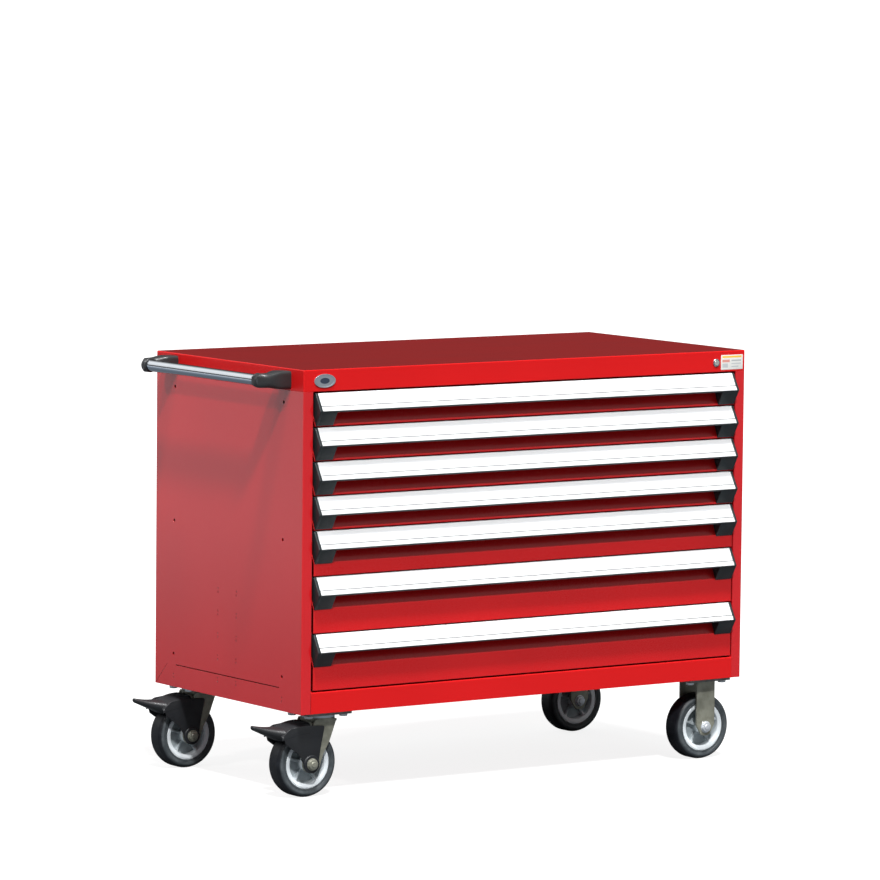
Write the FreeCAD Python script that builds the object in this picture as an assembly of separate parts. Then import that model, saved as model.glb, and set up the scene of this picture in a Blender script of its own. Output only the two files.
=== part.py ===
"""Mobile drawer cabinet: a folded steel housing with seven drawers on two rigid and two swivel casters.

Millimetres, +Z up. The model is worked out from the housing's front left corner on the floor: x runs
right, y runs back and z runs up. At the end it is placed with its origin under the middle of its box.
"""
import FreeCAD, Part
import math
import os

# Housing
HOUSING_W = 1219.2
HOUSING_D = 609.6
SHEET = 1.5                       # housing sheet steel
BEND_R = 2.5                      # outer radius of every fold
STILE_W = 26.2                    # front flange beside the drawers
STILE_RETURN = 18.0
REAR_FLANGE = 25.0
BAND_H = 48.3                     # height of the top skirt and of the bottom rail
BAND_RETURN = 25.0                # depth of their folded edges
PAN_T = 3.0                       # floor pan
SEAM = 0.3                        # gap between skirt and side panel
JOGGLE_GAP = 6.8                  # under the lid, above the panels' upper edges

# Drawers, top to bottom
DRAWER_PITCHES = (76.2, 76.2, 76.2, 76.2, 101.6, 127.0, 127.0)
DRAWER_MARGIN = 2.5               # between the drawer stack and the frame
FRONT_GAP = 1.5                   # under each drawer front
FRONT_SIDE_GAP = 4.15             # beside each drawer front
TRAY_SHEET = 1.2
TRAY_RIM_DROP = 8.0               # tray side below the pitch line
TRAY_RIM_FOLD = 6.0
TRAY_BACK_DROP = 20.0
REAR_SPACE = 40.0                 # behind a closed drawer

# Drawer front and handle, as drops below the drawer's pitch line
RECESS = 12.7                     # how far the upper front is set back
BEND_MARGIN = 4.0                 # flat strip under the lowest bend of the smallest drawer
HANDLE_TOP = 1.8
HANDLE_REACH = 20.8               # how far the lip stands proud
HANDLE_FALL = 38.1                # height of the slanted face
HANDLE_WALL = 2.2
HANDLE_LEG = 20.0                 # mounting leg down the recess
HANDLE_BASE = 43.2                # drop of the lip's underside
GROOVE_FROM = 31.2                # label groove, measured down the slanted face
GROOVE_W = 1.8
GROOVE_DEPTH = 1.0
BEAD_PROUD = 0.8
LIP_T = 4.6
CAP_SIDE_GAP = 4.8                # stile to end cap
CAP_W = 6.8                       # end cap plate
CAP_BLOCK_W = 39.7                # block under the handle's end
CAP_PROUD = 1.0

# Slides
POST_X = 20.0                     # face of the slide posts from the side
POST_D = 40.0
POST_SETBACK = 100.0              # from the front and from the back
SLIDE_H = 34.0
SLIDE_SEAT = 6.9                  # slide's underside above the smallest tray's floor
SLIDE_WALL = 1.8
SLIDE_FRONT = 20.0                # slide front end from the housing face
MEMBER_GAP = 0.5                  # between the lips of the two outer members
LIP_ENGAGE = 4.2                  # lip over the edge of the carriage
MEMBER_DEPTH = 12.2
SLIDE_PLAY = 0.4                  # round the carriage
STILE_PLAY = 0.6                  # stile edge to carriage
CARRIAGE_SHORT = 50.0             # carriage shorter than the rail
CARRIAGE_WEB = 4.0
CARRIAGE_FLANGE = 3.0

# Casters
WHEEL_R = 76.2
WHEEL_W = 50.8
HEADROOM = 38.1                   # wheel top to housing
WHEEL_INSET_Y = 57.15             # caster centre from front and back
STILE_TO_BOLT = 9.05              # stile's edge to the nearest caster bolt
SWIVEL_LEAD = 40.6                # wheel behind the kingpin
PLATE_X, PLATE_Y, PLATE_T = 114.3, 101.6, 6.35
PLATE_HOLES_X, PLATE_HOLES_Y = 92.1, 66.7
BOLT_R = 4.8
BOLT_PLAY = 0.3
BOLT_HEAD_H = 6.4
HEX_PER_SHAFT = 1.95              # hex corner radius over shaft radius
RACE_R = 38.0
RACE_T = 7.6
RACE_GAP = 0.5
CROWN_T = 7.5
KINGPIN_R = 8.0
FORK_GAP = 4.1                    # wheel side to fork leg
FORK_T = 5.0
FORK_W = 50.8
FORK_END_R = 20.0
AXLE_R = 6.35
RUN_FIT = 0.06                    # radial running clearance of pins and bores
HUB_R = 17.0
HUB_PROUD = 1.6                   # hub beyond the wheel side
RIM_R = 57.0
RIM_IN = 48.0
RIM_SETBACK = 3.4
WEB_T = 9.0
RIBS = 5
RIB_T = 6.0
RIB_W = 32.0
TYRE_SHOULDER = 7.0
TYRE_DISH = 2.0                   # sidewall lower at the rim
WASHER_R = 11.0
PEDAL_GAP = 1.0                   # fork leg to pedal cheek
PEDAL_T = 3.0
BOSS_R = 20.0
BOSS_T = 6.0
HEAD_H = 8.0

# Push handle
TUBE_R = 12.7
TUBE_WALL = 1.6
TUBE_REACH = 67.3                 # side to tube centre
TUBE_DROP = 25.4                  # tube centre below the top
FOOT_Y = 49.5                     # foot from the front and from the back
FOOT_L = 43.7
FOOT_H = 40.0
SOCKET_R = 16.0
SOCKET_LIP = 34.5                 # socket mouth from the foot's far edge
SCREW_R = 3.0
SCREW_HEAD_H = 3.5
SCREW_GRIP = 14.5                 # screw's reach into the elbow

# Lock and badge
LOCK_FROM_RIGHT = 83.4
LOCK_DROP = 26.8                  # below the top
LOCK_R = 9.5
LOCK_PROUD = 2.5
LOCK_DEPTH = 19.0
PLUG_R = 6.0
KEYWAY_W, KEYWAY_H, KEYWAY_DEPTH = 1.4, 7.0, 2.0
CAM_R, CAM_HALF, CAM_T = 12.0, 4.0, 3.0
CAM_RISE = 7.6                    # cam centre to the underside of the bar's arm
BAR_T, BAR_W = 6.0, 10.0
BAR_SIDE = 12.2                   # bar's outer face from the side
BAR_Y = 13.5
ARM_H = 8.0                       # bar's arm over the cam
BADGE_FROM_LEFT = 54.8
BADGE_DROP = 25.4
BADGE_W, BADGE_H, BADGE_T = 56.0, 30.0, 2.0

# Side panel holes and marks, as heights above the housing's underside
LINK_HOLE_R = 3.6                 # bolts that join cabinets side by side
LINK_HOLES_Y = 79.4               # from the front and from the back
LINK_HOLES_Z = 76.2               # from the housing's underside and from its top
MARK_R, MARK_DEPTH = 2.2, 0.6
MARK_PITCH = 8.4
MARK_COLUMNS = (-38.1, 38.1)      # from the middle of the depth
MARK_ROWS = (38.1, 88.9, 139.7, 190.5, 241.3)
MARK_UNDER_LINK = 50.8            # pair of marks below each lower link hole
CREASE = ((6.0, 3.0), (53.0, 49.5))   # mitre mark's ends, from the back and from the underside
CREASE_W, CREASE_DEPTH = 1.4, 0.4
SLOT_Z, SLOT_H = 50.8, 2.0
SLOT_END = 90.0                   # slot end from the front and from the back

# Worked out from the values above
AXLE_DROP = WHEEL_R + HEADROOM
BASE = WHEEL_R + AXLE_DROP                                # underside of the housing
STACK = sum(DRAWER_PITCHES)
TOP = BASE + STACK + 2 * (BAND_H + DRAWER_MARGIN)
SKIRT_Z = TOP - BAND_H
FRONT_X = STILE_W + FRONT_SIDE_GAP
BEND_DROP = min(DRAWER_PITCHES) - BEND_MARGIN
TRAY_BACK = HOUSING_D - REAR_SPACE
CAP_X = STILE_W + CAP_SIDE_GAP
HANDLE_X = CAP_X + CAP_W
SLIDE_DROP = min(DRAWER_PITCHES) - FRONT_GAP - SLIDE_SEAT - SLIDE_H / 2
MEMBER_X = STILE_W + STILE_PLAY + LIP_ENGAGE
RAIL_LIP = MEMBER_X - MEMBER_GAP
BOX_X = MEMBER_X + MEMBER_DEPTH                           # outside of the tray's side
CARRIAGE_X = (STILE_W + STILE_PLAY, BOX_X - SLIDE_WALL - SLIDE_PLAY)
LEG_IN = WHEEL_W / 2 + FORK_GAP
LEG_OUT = LEG_IN + FORK_T
CHEEK_IN = LEG_OUT + PEDAL_GAP
CROWN_TOP = PLATE_T + RACE_T + RACE_GAP
CROWN_BASE = CROWN_TOP + CROWN_T
WHEEL_INSET_X = STILE_W + STILE_TO_BOLT + PLATE_HOLES_X / 2
CASTER_YS = (WHEEL_INSET_Y, HOUSING_D - WHEEL_INSET_Y)
RIGHT_X = HOUSING_W - WHEEL_INSET_X


def box(x, y, z):
    """Block between pairs of coordinates."""
    (x0, x1), (y0, y1), (z0, z1) = sorted(x), sorted(y), sorted(z)
    return Part.makeBox(x1 - x0, y1 - y0, z1 - z0, FreeCAD.Vector(x0, y0, z0))


def rod(radius, start, end):
    """Round bar between two points."""
    a, b = FreeCAD.Vector(*start), FreeCAD.Vector(*end)
    return Part.makeCylinder(radius, (b - a).Length, a, b - a)


def hexagon(radius, start, end):
    """Hexagonal bar between two points, radius measured to its corners."""
    a, b = FreeCAD.Vector(*start), FreeCAD.Vector(*end)
    axis = (b - a).normalize()
    side = axis.cross(FreeCAD.Vector(0.3, 0.2, 1.0)).normalize()
    turn = FreeCAD.Rotation(axis, 60)
    corners = [a + side * radius]
    for _ in range(5):
        side = turn.multVec(side)
        corners.append(a + side * radius)
    return Part.Face(Part.makePolygon(corners + corners[:1])).extrude(FreeCAD.Vector(*end) - a)


def face(corners, plane):
    """Flat face through (a, b) or (a, b, radius) corners, each radius rounding its corner with an arc."""
    points = [FreeCAD.Vector(c[0], c[1], 0) for c in corners]
    starts, arcs, ends = [], [], []
    for i, corner in enumerate(corners):
        here, before, after = points[i], points[i - 1], points[(i + 1) % len(points)]
        radius = corner[2] if len(corner) > 2 else 0
        if not radius:
            starts.append(here)
            arcs.append(None)
            ends.append(here)
            continue
        u = (before - here).normalize()
        v = (after - here).normalize()
        half = u.getAngle(v) / 2
        middle = here + (u + v).normalize() * (radius / math.sin(half) - radius)
        starts.append(here + u * (radius / math.tan(half)))
        arcs.append(middle)
        ends.append(here + v * (radius / math.tan(half)))
    to_space = {"xy": lambda p: FreeCAD.Vector(p.x, p.y, 0),
                "xz": lambda p: FreeCAD.Vector(p.x, 0, p.y),
                "yz": lambda p: FreeCAD.Vector(0, p.x, p.y)}[plane]
    edges = []
    for i in range(len(corners)):
        if arcs[i]:
            edges.append(Part.Arc(to_space(starts[i]), to_space(arcs[i]), to_space(ends[i])).toShape())
        a, b = to_space(ends[i]), to_space(starts[(i + 1) % len(corners)])
        if (b - a).Length > 1e-6:
            edges.append(Part.LineSegment(a, b).toShape())
    return Part.Face(Part.Wire(edges))


def prism(corners, plane, low, high):
    """Outline in a plane carried between two values of the third coordinate."""
    normals = {"xy": (0, 0, 1), "xz": (0, 1, 0), "yz": (1, 0, 0)}
    along = FreeCAD.Vector(*normals[plane])
    shape = face(corners, plane)
    shape.translate(along * min(low, high))
    return shape.extrude(along * abs(high - low))


def mirror_x(shape):
    """The same piece on the other side of the housing."""
    return shape.mirror(FreeCAD.Vector(HOUSING_W / 2, 0, 0), FreeCAD.Vector(1, 0, 0))


def fuse(shapes):
    """One solid from pieces that are welded or moulded together."""
    return shapes[0].multiFuse(shapes[1:]).removeSplitter()


def link_holes():
    """Drills for the bolts that join cabinets side by side."""
    ys = (LINK_HOLES_Y, HOUSING_D - LINK_HOLES_Y)
    zs = (BASE + LINK_HOLES_Z, (BASE + TOP) / 2, TOP - LINK_HOLES_Z)
    return [rod(LINK_HOLE_R, (-SHEET, y, z), (2 * SHEET, y, z)) for y in ys for z in zs]


def side_panel():
    """Left side: flat sheet with front stile and rear flange, stepped in to reach up inside the skirt."""
    plan = [(0, 0, BEND_R), (STILE_W, 0, BEND_R), (STILE_W, STILE_RETURN), (STILE_W - SHEET, STILE_RETURN),
            (STILE_W - SHEET, SHEET, BEND_R - SHEET), (SHEET, SHEET, BEND_R - SHEET),
            (SHEET, HOUSING_D - SHEET, BEND_R - SHEET), (REAR_FLANGE, HOUSING_D - SHEET),
            (REAR_FLANGE, HOUSING_D), (0, HOUSING_D, BEND_R)]
    folded = prism(plan, "xy", BASE, SKIRT_Z - SEAM)
    step_y = (STILE_W, HOUSING_D - REAR_FLANGE)
    step = box((SHEET, 2 * SHEET), step_y, (SKIRT_Z - BAND_RETURN, TOP - SHEET - JOGGLE_GAP))
    panel = fuse([folded, step])
    places = [(HOUSING_D / 2 + offset, height) for offset in MARK_COLUMNS for height in MARK_ROWS]
    places += [(y, LINK_HOLES_Z - MARK_UNDER_LINK) for y in (LINK_HOLES_Y, HOUSING_D - LINK_HOLES_Y)]
    marks = []
    for y, height in places:
        for side in (-0.5, 0.5):
            z = BASE + height + side * MARK_PITCH
            marks.append(rod(MARK_R, (-SHEET, y, z), (MARK_DEPTH, y, z)))
    (y0, z0), (y1, z1) = [(HOUSING_D - back, BASE + up) for back, up in CREASE]
    crease = [(y0, z0), (y0, z0 + CREASE_W), (y1, z1 + CREASE_W), (y1, z1)]
    marks.append(prism(crease, "yz", -SHEET, CREASE_DEPTH))
    slot_y = (SLOT_END, HOUSING_D - SLOT_END)
    slot = box((-SHEET, 2 * SHEET), slot_y, (BASE + SLOT_Z - SLOT_H / 2, BASE + SLOT_Z + SLOT_H / 2))
    pan_notch = box((STILE_W - 2 * SHEET, STILE_W), (SHEET, STILE_RETURN), (BASE - SHEET, BASE + PAN_T))
    return panel.cut(link_holes() + marks + [slot, pan_notch])


def back_panel():
    """Flat back between the side panels' rear flanges, reaching up inside the skirt."""
    y = (HOUSING_D - 2 * SHEET, HOUSING_D - SHEET)
    return box((2 * SHEET, HOUSING_W - 2 * SHEET), y, (BASE + PAN_T, TOP - SHEET - JOGGLE_GAP))


def bottom_rail():
    """Channel across the front under the lowest drawer."""
    section = [(0, BASE), (0, BASE + BAND_H, BEND_R), (BAND_RETURN, BASE + BAND_H),
               (BAND_RETURN, BASE + BAND_H - SHEET), (SHEET, BASE + BAND_H - SHEET, BEND_R - SHEET),
               (SHEET, BASE)]
    return prism(section, "yz", STILE_W, HOUSING_W - STILE_W)


def floor_pan():
    """Reinforced floor with the casters' bolt holes."""
    right, back, corner = HOUSING_W - SHEET, HOUSING_D - 2 * SHEET, BEND_R - SHEET
    plan = [(SHEET, SHEET, corner), (right, SHEET, corner), (right, back), (SHEET, back)]
    pan = prism(plan, "xy", BASE, BASE + PAN_T)
    return pan.cut(bolt_drills(BASE - PAN_T, BASE + 2 * PAN_T))


def top_cover():
    """Shallow lid: flat top, four skirts and a folded edge over the top drawer."""
    outer = box((0, HOUSING_W), (0, HOUSING_D), (SKIRT_Z, TOP))
    soft = [e for e in outer.Edges if e.BoundBox.ZMax > SKIRT_Z + BEND_R]
    outer = outer.makeFillet(BEND_R, soft)
    inner = box((SHEET, HOUSING_W - SHEET), (SHEET, HOUSING_D - SHEET), (SKIRT_Z - SHEET, TOP - SHEET))
    lip = box((STILE_W, HOUSING_W - STILE_W), (SHEET / 2, BAND_RETURN), (SKIRT_Z, SKIRT_Z + SHEET))
    lid = fuse([outer.cut(inner), lip])
    x, z = lock_place()
    drills = [rod(PLUG_R + 2 * SHEET, (x, -SHEET, z), (x, 2 * SHEET, z))]
    return lid.cut(drills + screw_holes())


def slide_posts():
    """Four channels inside the sides that carry the slides."""
    posts = []
    for y in (POST_SETBACK, HOUSING_D - POST_SETBACK - POST_D):
        outer = box((2 * SHEET, POST_X), (y, y + POST_D), (BASE + PAN_T, SKIRT_Z - BAND_RETURN))
        hollow = box((0, POST_X - SHEET), (y + SHEET, y + POST_D - SHEET), (BASE, TOP))
        post = outer.cut(hollow)
        posts += [post, mirror_x(post)]
    return posts


def drawer_tops():
    """Height of each drawer's pitch line, top drawer first."""
    tops = [SKIRT_Z - DRAWER_MARGIN]
    for pitch in DRAWER_PITCHES[:-1]:
        tops.append(tops[-1] - pitch)
    return tops


def channel(lip, web, z, height, wall, y0, y1):
    """C section of a slide: web at one x, lips reaching to the other."""
    sign = 1 if lip > web else -1
    half = height / 2
    floor_z, lid_z, inner = z - half + wall, z + half - wall, web + sign * wall
    section = [(web, z - half), (lip, z - half), (lip, floor_z), (inner, floor_z),
               (inner, lid_z), (lip, lid_z), (lip, z + half), (web, z + half)]
    return prism(section, "xz", y0, y1)


def cabinet_rails():
    """Fixed outer member of each slide, left and right."""
    rails = []
    for top in drawer_tops():
        rail = channel(RAIL_LIP, POST_X, top - SLIDE_DROP, SLIDE_H, SLIDE_WALL, SLIDE_FRONT, TRAY_BACK)
        rails += [rail, mirror_x(rail)]
    return rails


def carriage(top):
    """Intermediate slide member, an I section that runs inside both outer members."""
    z, half = top - SLIDE_DROP, SLIDE_H / 2 - SLIDE_WALL - SLIDE_PLAY
    y = (SLIDE_FRONT, TRAY_BACK - CARRIAGE_SHORT)
    middle = sum(CARRIAGE_X) / 2
    web = box((middle - CARRIAGE_WEB / 2, middle + CARRIAGE_WEB / 2), y, (z - half, z + half))
    flanges = [box(CARRIAGE_X, y, (z + s * half, z + s * (half - CARRIAGE_FLANGE))) for s in (-1, 1)]
    bar = fuse([web] + flanges)
    return [bar, mirror_x(bar)]


def drawer_tray(top, pitch):
    """Folded box with its front and the inner slide members."""
    low = top - pitch + FRONT_GAP
    recess_z, bend_z = top - HANDLE_BASE, top - BEND_DROP
    t = TRAY_SHEET
    front_top = top - 2 * HANDLE_TOP - HANDLE_WALL
    front = [(0, low), (0, bend_z, BEND_R), (RECESS, recess_z, BEND_R), (RECESS, front_top),
             (RECESS + t, front_top), (RECESS + t, recess_z, BEND_R - t), (t, bend_z - t / 4), (t, low)]
    wide = (FRONT_X, HOUSING_W - FRONT_X)
    inner = (BOX_X, HOUSING_W - BOX_X)
    rim = top - TRAY_RIM_DROP
    side = box((BOX_X, BOX_X + t), (RECESS, TRAY_BACK), (low, rim))
    fold = box((BOX_X, BOX_X + TRAY_RIM_FOLD), (RECESS, TRAY_BACK), (rim - t, rim))
    member = channel(MEMBER_X, BOX_X, top - SLIDE_DROP, SLIDE_H, SLIDE_WALL, SLIDE_FRONT, TRAY_BACK)
    left = fuse([side, fold, member])
    floor = box(inner, (t / 2, TRAY_BACK), (low, low + t))
    back = box(inner, (TRAY_BACK - t, TRAY_BACK), (low, top - TRAY_BACK_DROP))
    return fuse([prism(front, "yz", *wide), floor, back, left, mirror_x(left)])


def handle_point(down, proud):
    """(y, drop) of a point on the slanted handle face: distance down it and out from it."""
    length = math.hypot(HANDLE_REACH, HANDLE_FALL)
    y, z = HANDLE_REACH / length, HANDLE_FALL / length
    return -y * down - z * proud, -HANDLE_TOP - z * down + y * proud


def drawer_handle(top):
    """Full-width pull: top flange, slanted face with a label groove, beaded lip and mounting leg."""
    length = math.hypot(HANDLE_REACH, HANDLE_FALL)
    groove_to = GROOVE_FROM + GROOVE_W
    run = [(RECESS, -HANDLE_TOP), (0, -HANDLE_TOP, HANDLE_WALL / 2), handle_point(GROOVE_FROM, 0),
           handle_point(GROOVE_FROM, -GROOVE_DEPTH), handle_point(groove_to, -GROOVE_DEPTH),
           handle_point(groove_to, BEAD_PROUD), handle_point(length, BEAD_PROUD) + (BEAD_PROUD * 2,),
           (HANDLE_WALL - HANDLE_REACH, -HANDLE_BASE, BEAD_PROUD),
           (HANDLE_WALL + LIP_T - HANDLE_REACH, -HANDLE_BASE, BEAD_PROUD),
           handle_point(length - LIP_T, -LIP_T),
           handle_point(groove_to, -HANDLE_WALL), handle_point(2 * HANDLE_WALL, -HANDLE_WALL),
           (HANDLE_WALL, -HANDLE_TOP - HANDLE_WALL), (RECESS - HANDLE_WALL, -HANDLE_TOP - HANDLE_WALL),
           (RECESS - HANDLE_WALL, -HANDLE_TOP - HANDLE_LEG), (RECESS, -HANDLE_TOP - HANDLE_LEG)]
    section = [(p[0], top + p[1]) + tuple(p[2:]) for p in run]
    return prism(section, "yz", HANDLE_X, HOUSING_W - HANDLE_X)


def handle_caps(top):
    """Moulded ends: a plate over the handle's profile and a block under it."""
    lip_y, lip_z = -HANDLE_REACH - CAP_PROUD, top - HANDLE_TOP - HANDLE_FALL
    foot = (-CAP_PROUD, top - BEND_DROP - CAP_PROUD)
    plate = [(RECESS, top - HANDLE_TOP), (0, top - HANDLE_TOP, CAP_PROUD), (lip_y, lip_z, 2 * CAP_PROUD),
             foot,
             (0, top - BEND_DROP), (RECESS, top - HANDLE_BASE, BEND_R)]
    under = top - HANDLE_BASE
    share = (lip_z - under) / (lip_z - foot[1])
    block = [(RECESS, under, BEND_R), (lip_y + (foot[0] - lip_y) * share, under), foot,
             (0, top - BEND_DROP)]
    cap = fuse([prism(plate, "yz", CAP_X, HANDLE_X), prism(block, "yz", HANDLE_X, HANDLE_X + CAP_BLOCK_W)])
    return [cap, mirror_x(cap)]


def caster_centres():
    """Plate centre of each caster: name, x, y and whether it swivels."""
    for row, y in zip(("front", "rear"), CASTER_YS):
        yield row + "_left", WHEEL_INSET_X, y, True
        yield row + "_right", RIGHT_X, y, False


def bolt_places():
    """Centres of the sixteen caster bolts."""
    signs = [(i, j) for i in (-0.5, 0.5) for j in (-0.5, 0.5)]
    return [(x + i * PLATE_HOLES_X, y + j * PLATE_HOLES_Y)
            for _, x, y, _ in caster_centres() for i, j in signs]


def bolt_drills(low, high):
    """Clearance drills for those bolts between two heights."""
    return [rod(BOLT_R + BOLT_PLAY, (x, y, low), (x, y, high)) for x, y in bolt_places()]


def caster_plates():
    """Top plates; a swivel caster's plate carries the upper race and the kingpin's bore."""
    plates = []
    for _, x, y, swivels in caster_centres():
        plate = box((x - PLATE_X / 2, x + PLATE_X / 2), (y - PLATE_Y / 2, y + PLATE_Y / 2),
                    (BASE - PLATE_T, BASE))
        if swivels:
            race = rod(RACE_R, (x, y, BASE - PLATE_T - RACE_T), (x, y, BASE - PLATE_T / 2))
            bore = rod(KINGPIN_R + RUN_FIT, (x, y, BASE - 2 * CROWN_TOP), (x, y, BASE + PLATE_T))
            plate = fuse([plate, race]).cut(bore)
        plates.append(plate.cut(bolt_drills(BASE - 2 * PLATE_T, BASE + PLATE_T)))
    return plates


def hex_bolt(radius, head, start, end):
    """Bolt from its head's outer face to its nut's, both of one height."""
    a, b = FreeCAD.Vector(*start), FreeCAD.Vector(*end)
    along = (b - a).normalize()
    corner = radius * HEX_PER_SHAFT
    return fuse([rod(radius, a, b), hexagon(corner, a, a + along * head),
                 hexagon(corner, b - along * head, b)])


def housing_bolts():
    """Caster bolts with their nuts, and the push handle's screws."""
    low, high = BASE - PLATE_T - BOLT_HEAD_H, BASE + PAN_T + BOLT_HEAD_H
    bolts = [hex_bolt(BOLT_R, BOLT_HEAD_H, (x, y, low), (x, y, high)) for x, y in bolt_places()]
    for y, z in foot_screws():
        shaft = rod(SCREW_R, (-SCREW_GRIP, y, z), (2 * SHEET, y, z))
        head = rod(2 * SCREW_R, (2 * SHEET, y, z), (2 * SHEET + SCREW_HEAD_H, y, z))
        bolts.append(fuse([shaft, head]))
    return bolts


def axle(x, y, reach):
    """Wheel bolt with head, nut and the two washers beside the hub."""
    z = WHEEL_R
    bolt = hex_bolt(AXLE_R, HEAD_H, (x, y - reach - HEAD_H, z), (x, y + reach + HEAD_H, z))
    hub = WHEEL_W / 2 + HUB_PROUD + SLIDE_PLAY
    washers = [rod(WASHER_R, (x, y + s * hub, z), (x, y + s * LEG_IN, z)) for s in (-1, 1)]
    return fuse([bolt] + washers)


def rigid_fork(x, y):
    """Bent strap: two straight legs with rounded ends, joined under the plate."""
    top, axle_z = BASE - PLATE_T, WHEEL_R
    half = FORK_W / 2
    foot_half, foot_z = FORK_END_R / 2, axle_z - FORK_END_R
    leg = [(x - half, top), (x - half, axle_z + FORK_T), (x - foot_half, foot_z, foot_half),
           (x + foot_half, foot_z, foot_half), (x + half, axle_z + FORK_T), (x + half, top)]
    legs = [prism(leg, "xz", y + s * LEG_IN, y + s * LEG_OUT) for s in (-1, 1)]
    bridge = box((x - half, x + half), (y - LEG_OUT, y + LEG_OUT), (top - FORK_T, top))
    axle_bore = rod(AXLE_R + RUN_FIT, (x, y - WHEEL_W, axle_z), (x, y + WHEEL_W, axle_z))
    return fuse(legs + [bridge]).cut(axle_bore)


def swivel_fork(x, y):
    """Crown with the lower race, raked legs and the kingpin with its nut."""
    wheel_x, axle_z = x - SWIVEL_LEAD, WHEEL_R
    top, under = BASE - CROWN_TOP, BASE - CROWN_BASE
    right = RACE_R * 0.74
    knee = under - (under - axle_z) * 0.48
    leg = [(x - right, under + FORK_T), (wheel_x - FORK_END_R * 0.9, axle_z + 2 * FORK_END_R),
           (wheel_x - FORK_END_R, axle_z - FORK_END_R, FORK_END_R * 0.95),
           (wheel_x + FORK_END_R, axle_z - FORK_END_R, FORK_END_R * 0.95),
           (x - right * 0.25, axle_z + FORK_END_R), (x + right * 0.33, knee), (x + right, under + FORK_T)]
    legs = [prism(leg, "xz", y + s * LEG_IN, y + s * LEG_OUT) for s in (-1, 1)]
    race = rod(RACE_R, (x, y, under), (x, y, top))
    bridge = box((x - right, x + right), (y - LEG_OUT, y + LEG_OUT), (under, under + FORK_T))
    kingpin = rod(KINGPIN_R, (x, y, under - HEAD_H), (x, y, BASE - RACE_GAP))
    nut = hexagon(KINGPIN_R * HEX_PER_SHAFT, (x, y, under - HEAD_H), (x, y, under))
    fork = fuse(legs + [race, bridge, kingpin, nut])
    return fork.cut(rod(AXLE_R + RUN_FIT, (wheel_x, y - WHEEL_W, axle_z), (wheel_x, y + WHEEL_W, axle_z)))


def wheel_core(x, y):
    """Cast centre: hub, web with ribs and the rim that carries the tyre."""
    hub, rim = WHEEL_W / 2 + HUB_PROUD, WHEEL_W / 2 - RIM_SETBACK
    centre = FreeCAD.Vector(x, y, WHEEL_R)
    axis = FreeCAD.Vector(0, 1, 0)

    def disc(radius, half):
        return Part.makeCylinder(radius, 2 * half, centre - axis * half, axis)

    ring = disc(RIM_R, rim).cut(disc(RIM_IN, 2 * rim))
    middle = (RIM_R + RIM_IN) / 2
    ribs = []
    for i in range(RIBS):
        rib = box((x, x + middle), (y - RIB_W / 2, y + RIB_W / 2),
                  (WHEEL_R - RIB_T / 2, WHEEL_R + RIB_T / 2))
        rib.rotate(centre, axis, i * 360 / RIBS)
        ribs.append(rib)
    core = fuse([ring, disc(HUB_R, hub), disc(middle, WEB_T / 2)] + ribs)
    return core.cut(disc(AXLE_R + RUN_FIT, 2 * hub))


def tyre(x, y):
    """Rubber tread moulded round the rim."""
    half = WHEEL_W / 2
    wall, tread, shoulder = x + WHEEL_R - TYRE_SHOULDER, x + WHEEL_R, half - TYRE_SHOULDER
    section = [(x + RIM_R, y - half + TYRE_DISH), (wall, y - half, 2), (tread, y - shoulder, 4),
               (tread, y + shoulder, 4), (wall, y + half, 2), (x + RIM_R, y + half - TYRE_DISH)]
    ring = face(section, "xy").revolve(FreeCAD.Vector(x, y, 0), FreeCAD.Vector(0, 1, 0), 360)
    ring.translate(FreeCAD.Vector(0, 0, WHEEL_R))
    return ring


def brake_pedal(x, y):
    """Hood over the wheel with two cheeks round the axle and a toe horn; x, y is the wheel's centre.

    The outlines are drawn from the wheel's centre line and its top, as the hood clears the tyre.
    """
    axle_z, top = WHEEL_R, 2 * WHEEL_R
    outer = CHEEK_IN + PEDAL_T
    cheek = [(x - 83, top - 11, 5), (x - 57, top + 6.5, 20), (x - 17, top + 10.4, 30),
             (x + 35, top + 7.6, 4), (x + 24, axle_z + 33), (x + BOSS_R * 0.95, axle_z),
             (x - BOSS_R * 0.95, axle_z), (x - 33, axle_z + 24, 10), (x - 67, axle_z + 48)]
    cheeks, bosses = [], []
    for s in (-1, 1):
        cheeks.append(prism(cheek, "xz", y + s * CHEEK_IN, y + s * outer))
        bosses.append(rod(BOSS_R, (x, y + s * CHEEK_IN, axle_z), (x, y + s * (CHEEK_IN + BOSS_T), axle_z)))
    toe, crown, back = (x - 84, top - 9), (x - 57, top + 10), (x - 17, top + 17)
    hood = [toe, crown + (30,), back + (40,), (x - 4, top + 17), (x - 4, top + 17 - PEDAL_T),
            (back[0], back[1] - PEDAL_T, 37), (crown[0], crown[1] - PEDAL_T, 27),
            (toe[0] + PEDAL_T, toe[1] - PEDAL_T)]
    cover = prism(hood, "xz", y - outer, y + outer)
    horn = [(x - 76, top - 9), (x - 86, top + 8), (x - 101, top + 9, 30), (x - 126, top + 15.5, 4),
            (x - 134, top + 10, 4), (x - 121, top, 20), (x - 101, top - 8), (x - 76, top - 18)]
    half_plan = [(x - 66, CHEEK_IN), (x - 84, CHEEK_IN * 0.8, 15), (x - 104, 12, 20), (x - 135, 7, 6)]
    plan = [(p[0], y + p[1]) + p[2:] for p in half_plan]
    plan += [(p[0], y - p[1]) + p[2:] for p in half_plan[::-1]]
    toe_horn = prism(horn, "xz", y - CHEEK_IN, y + CHEEK_IN).common(prism(plan, "xy", 0, TOP))
    body = fuse(cheeks + bosses + [cover, toe_horn])
    return body.cut(rod(AXLE_R + RUN_FIT, (x, y - WHEEL_W, axle_z), (x, y + WHEEL_W, axle_z)))


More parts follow.
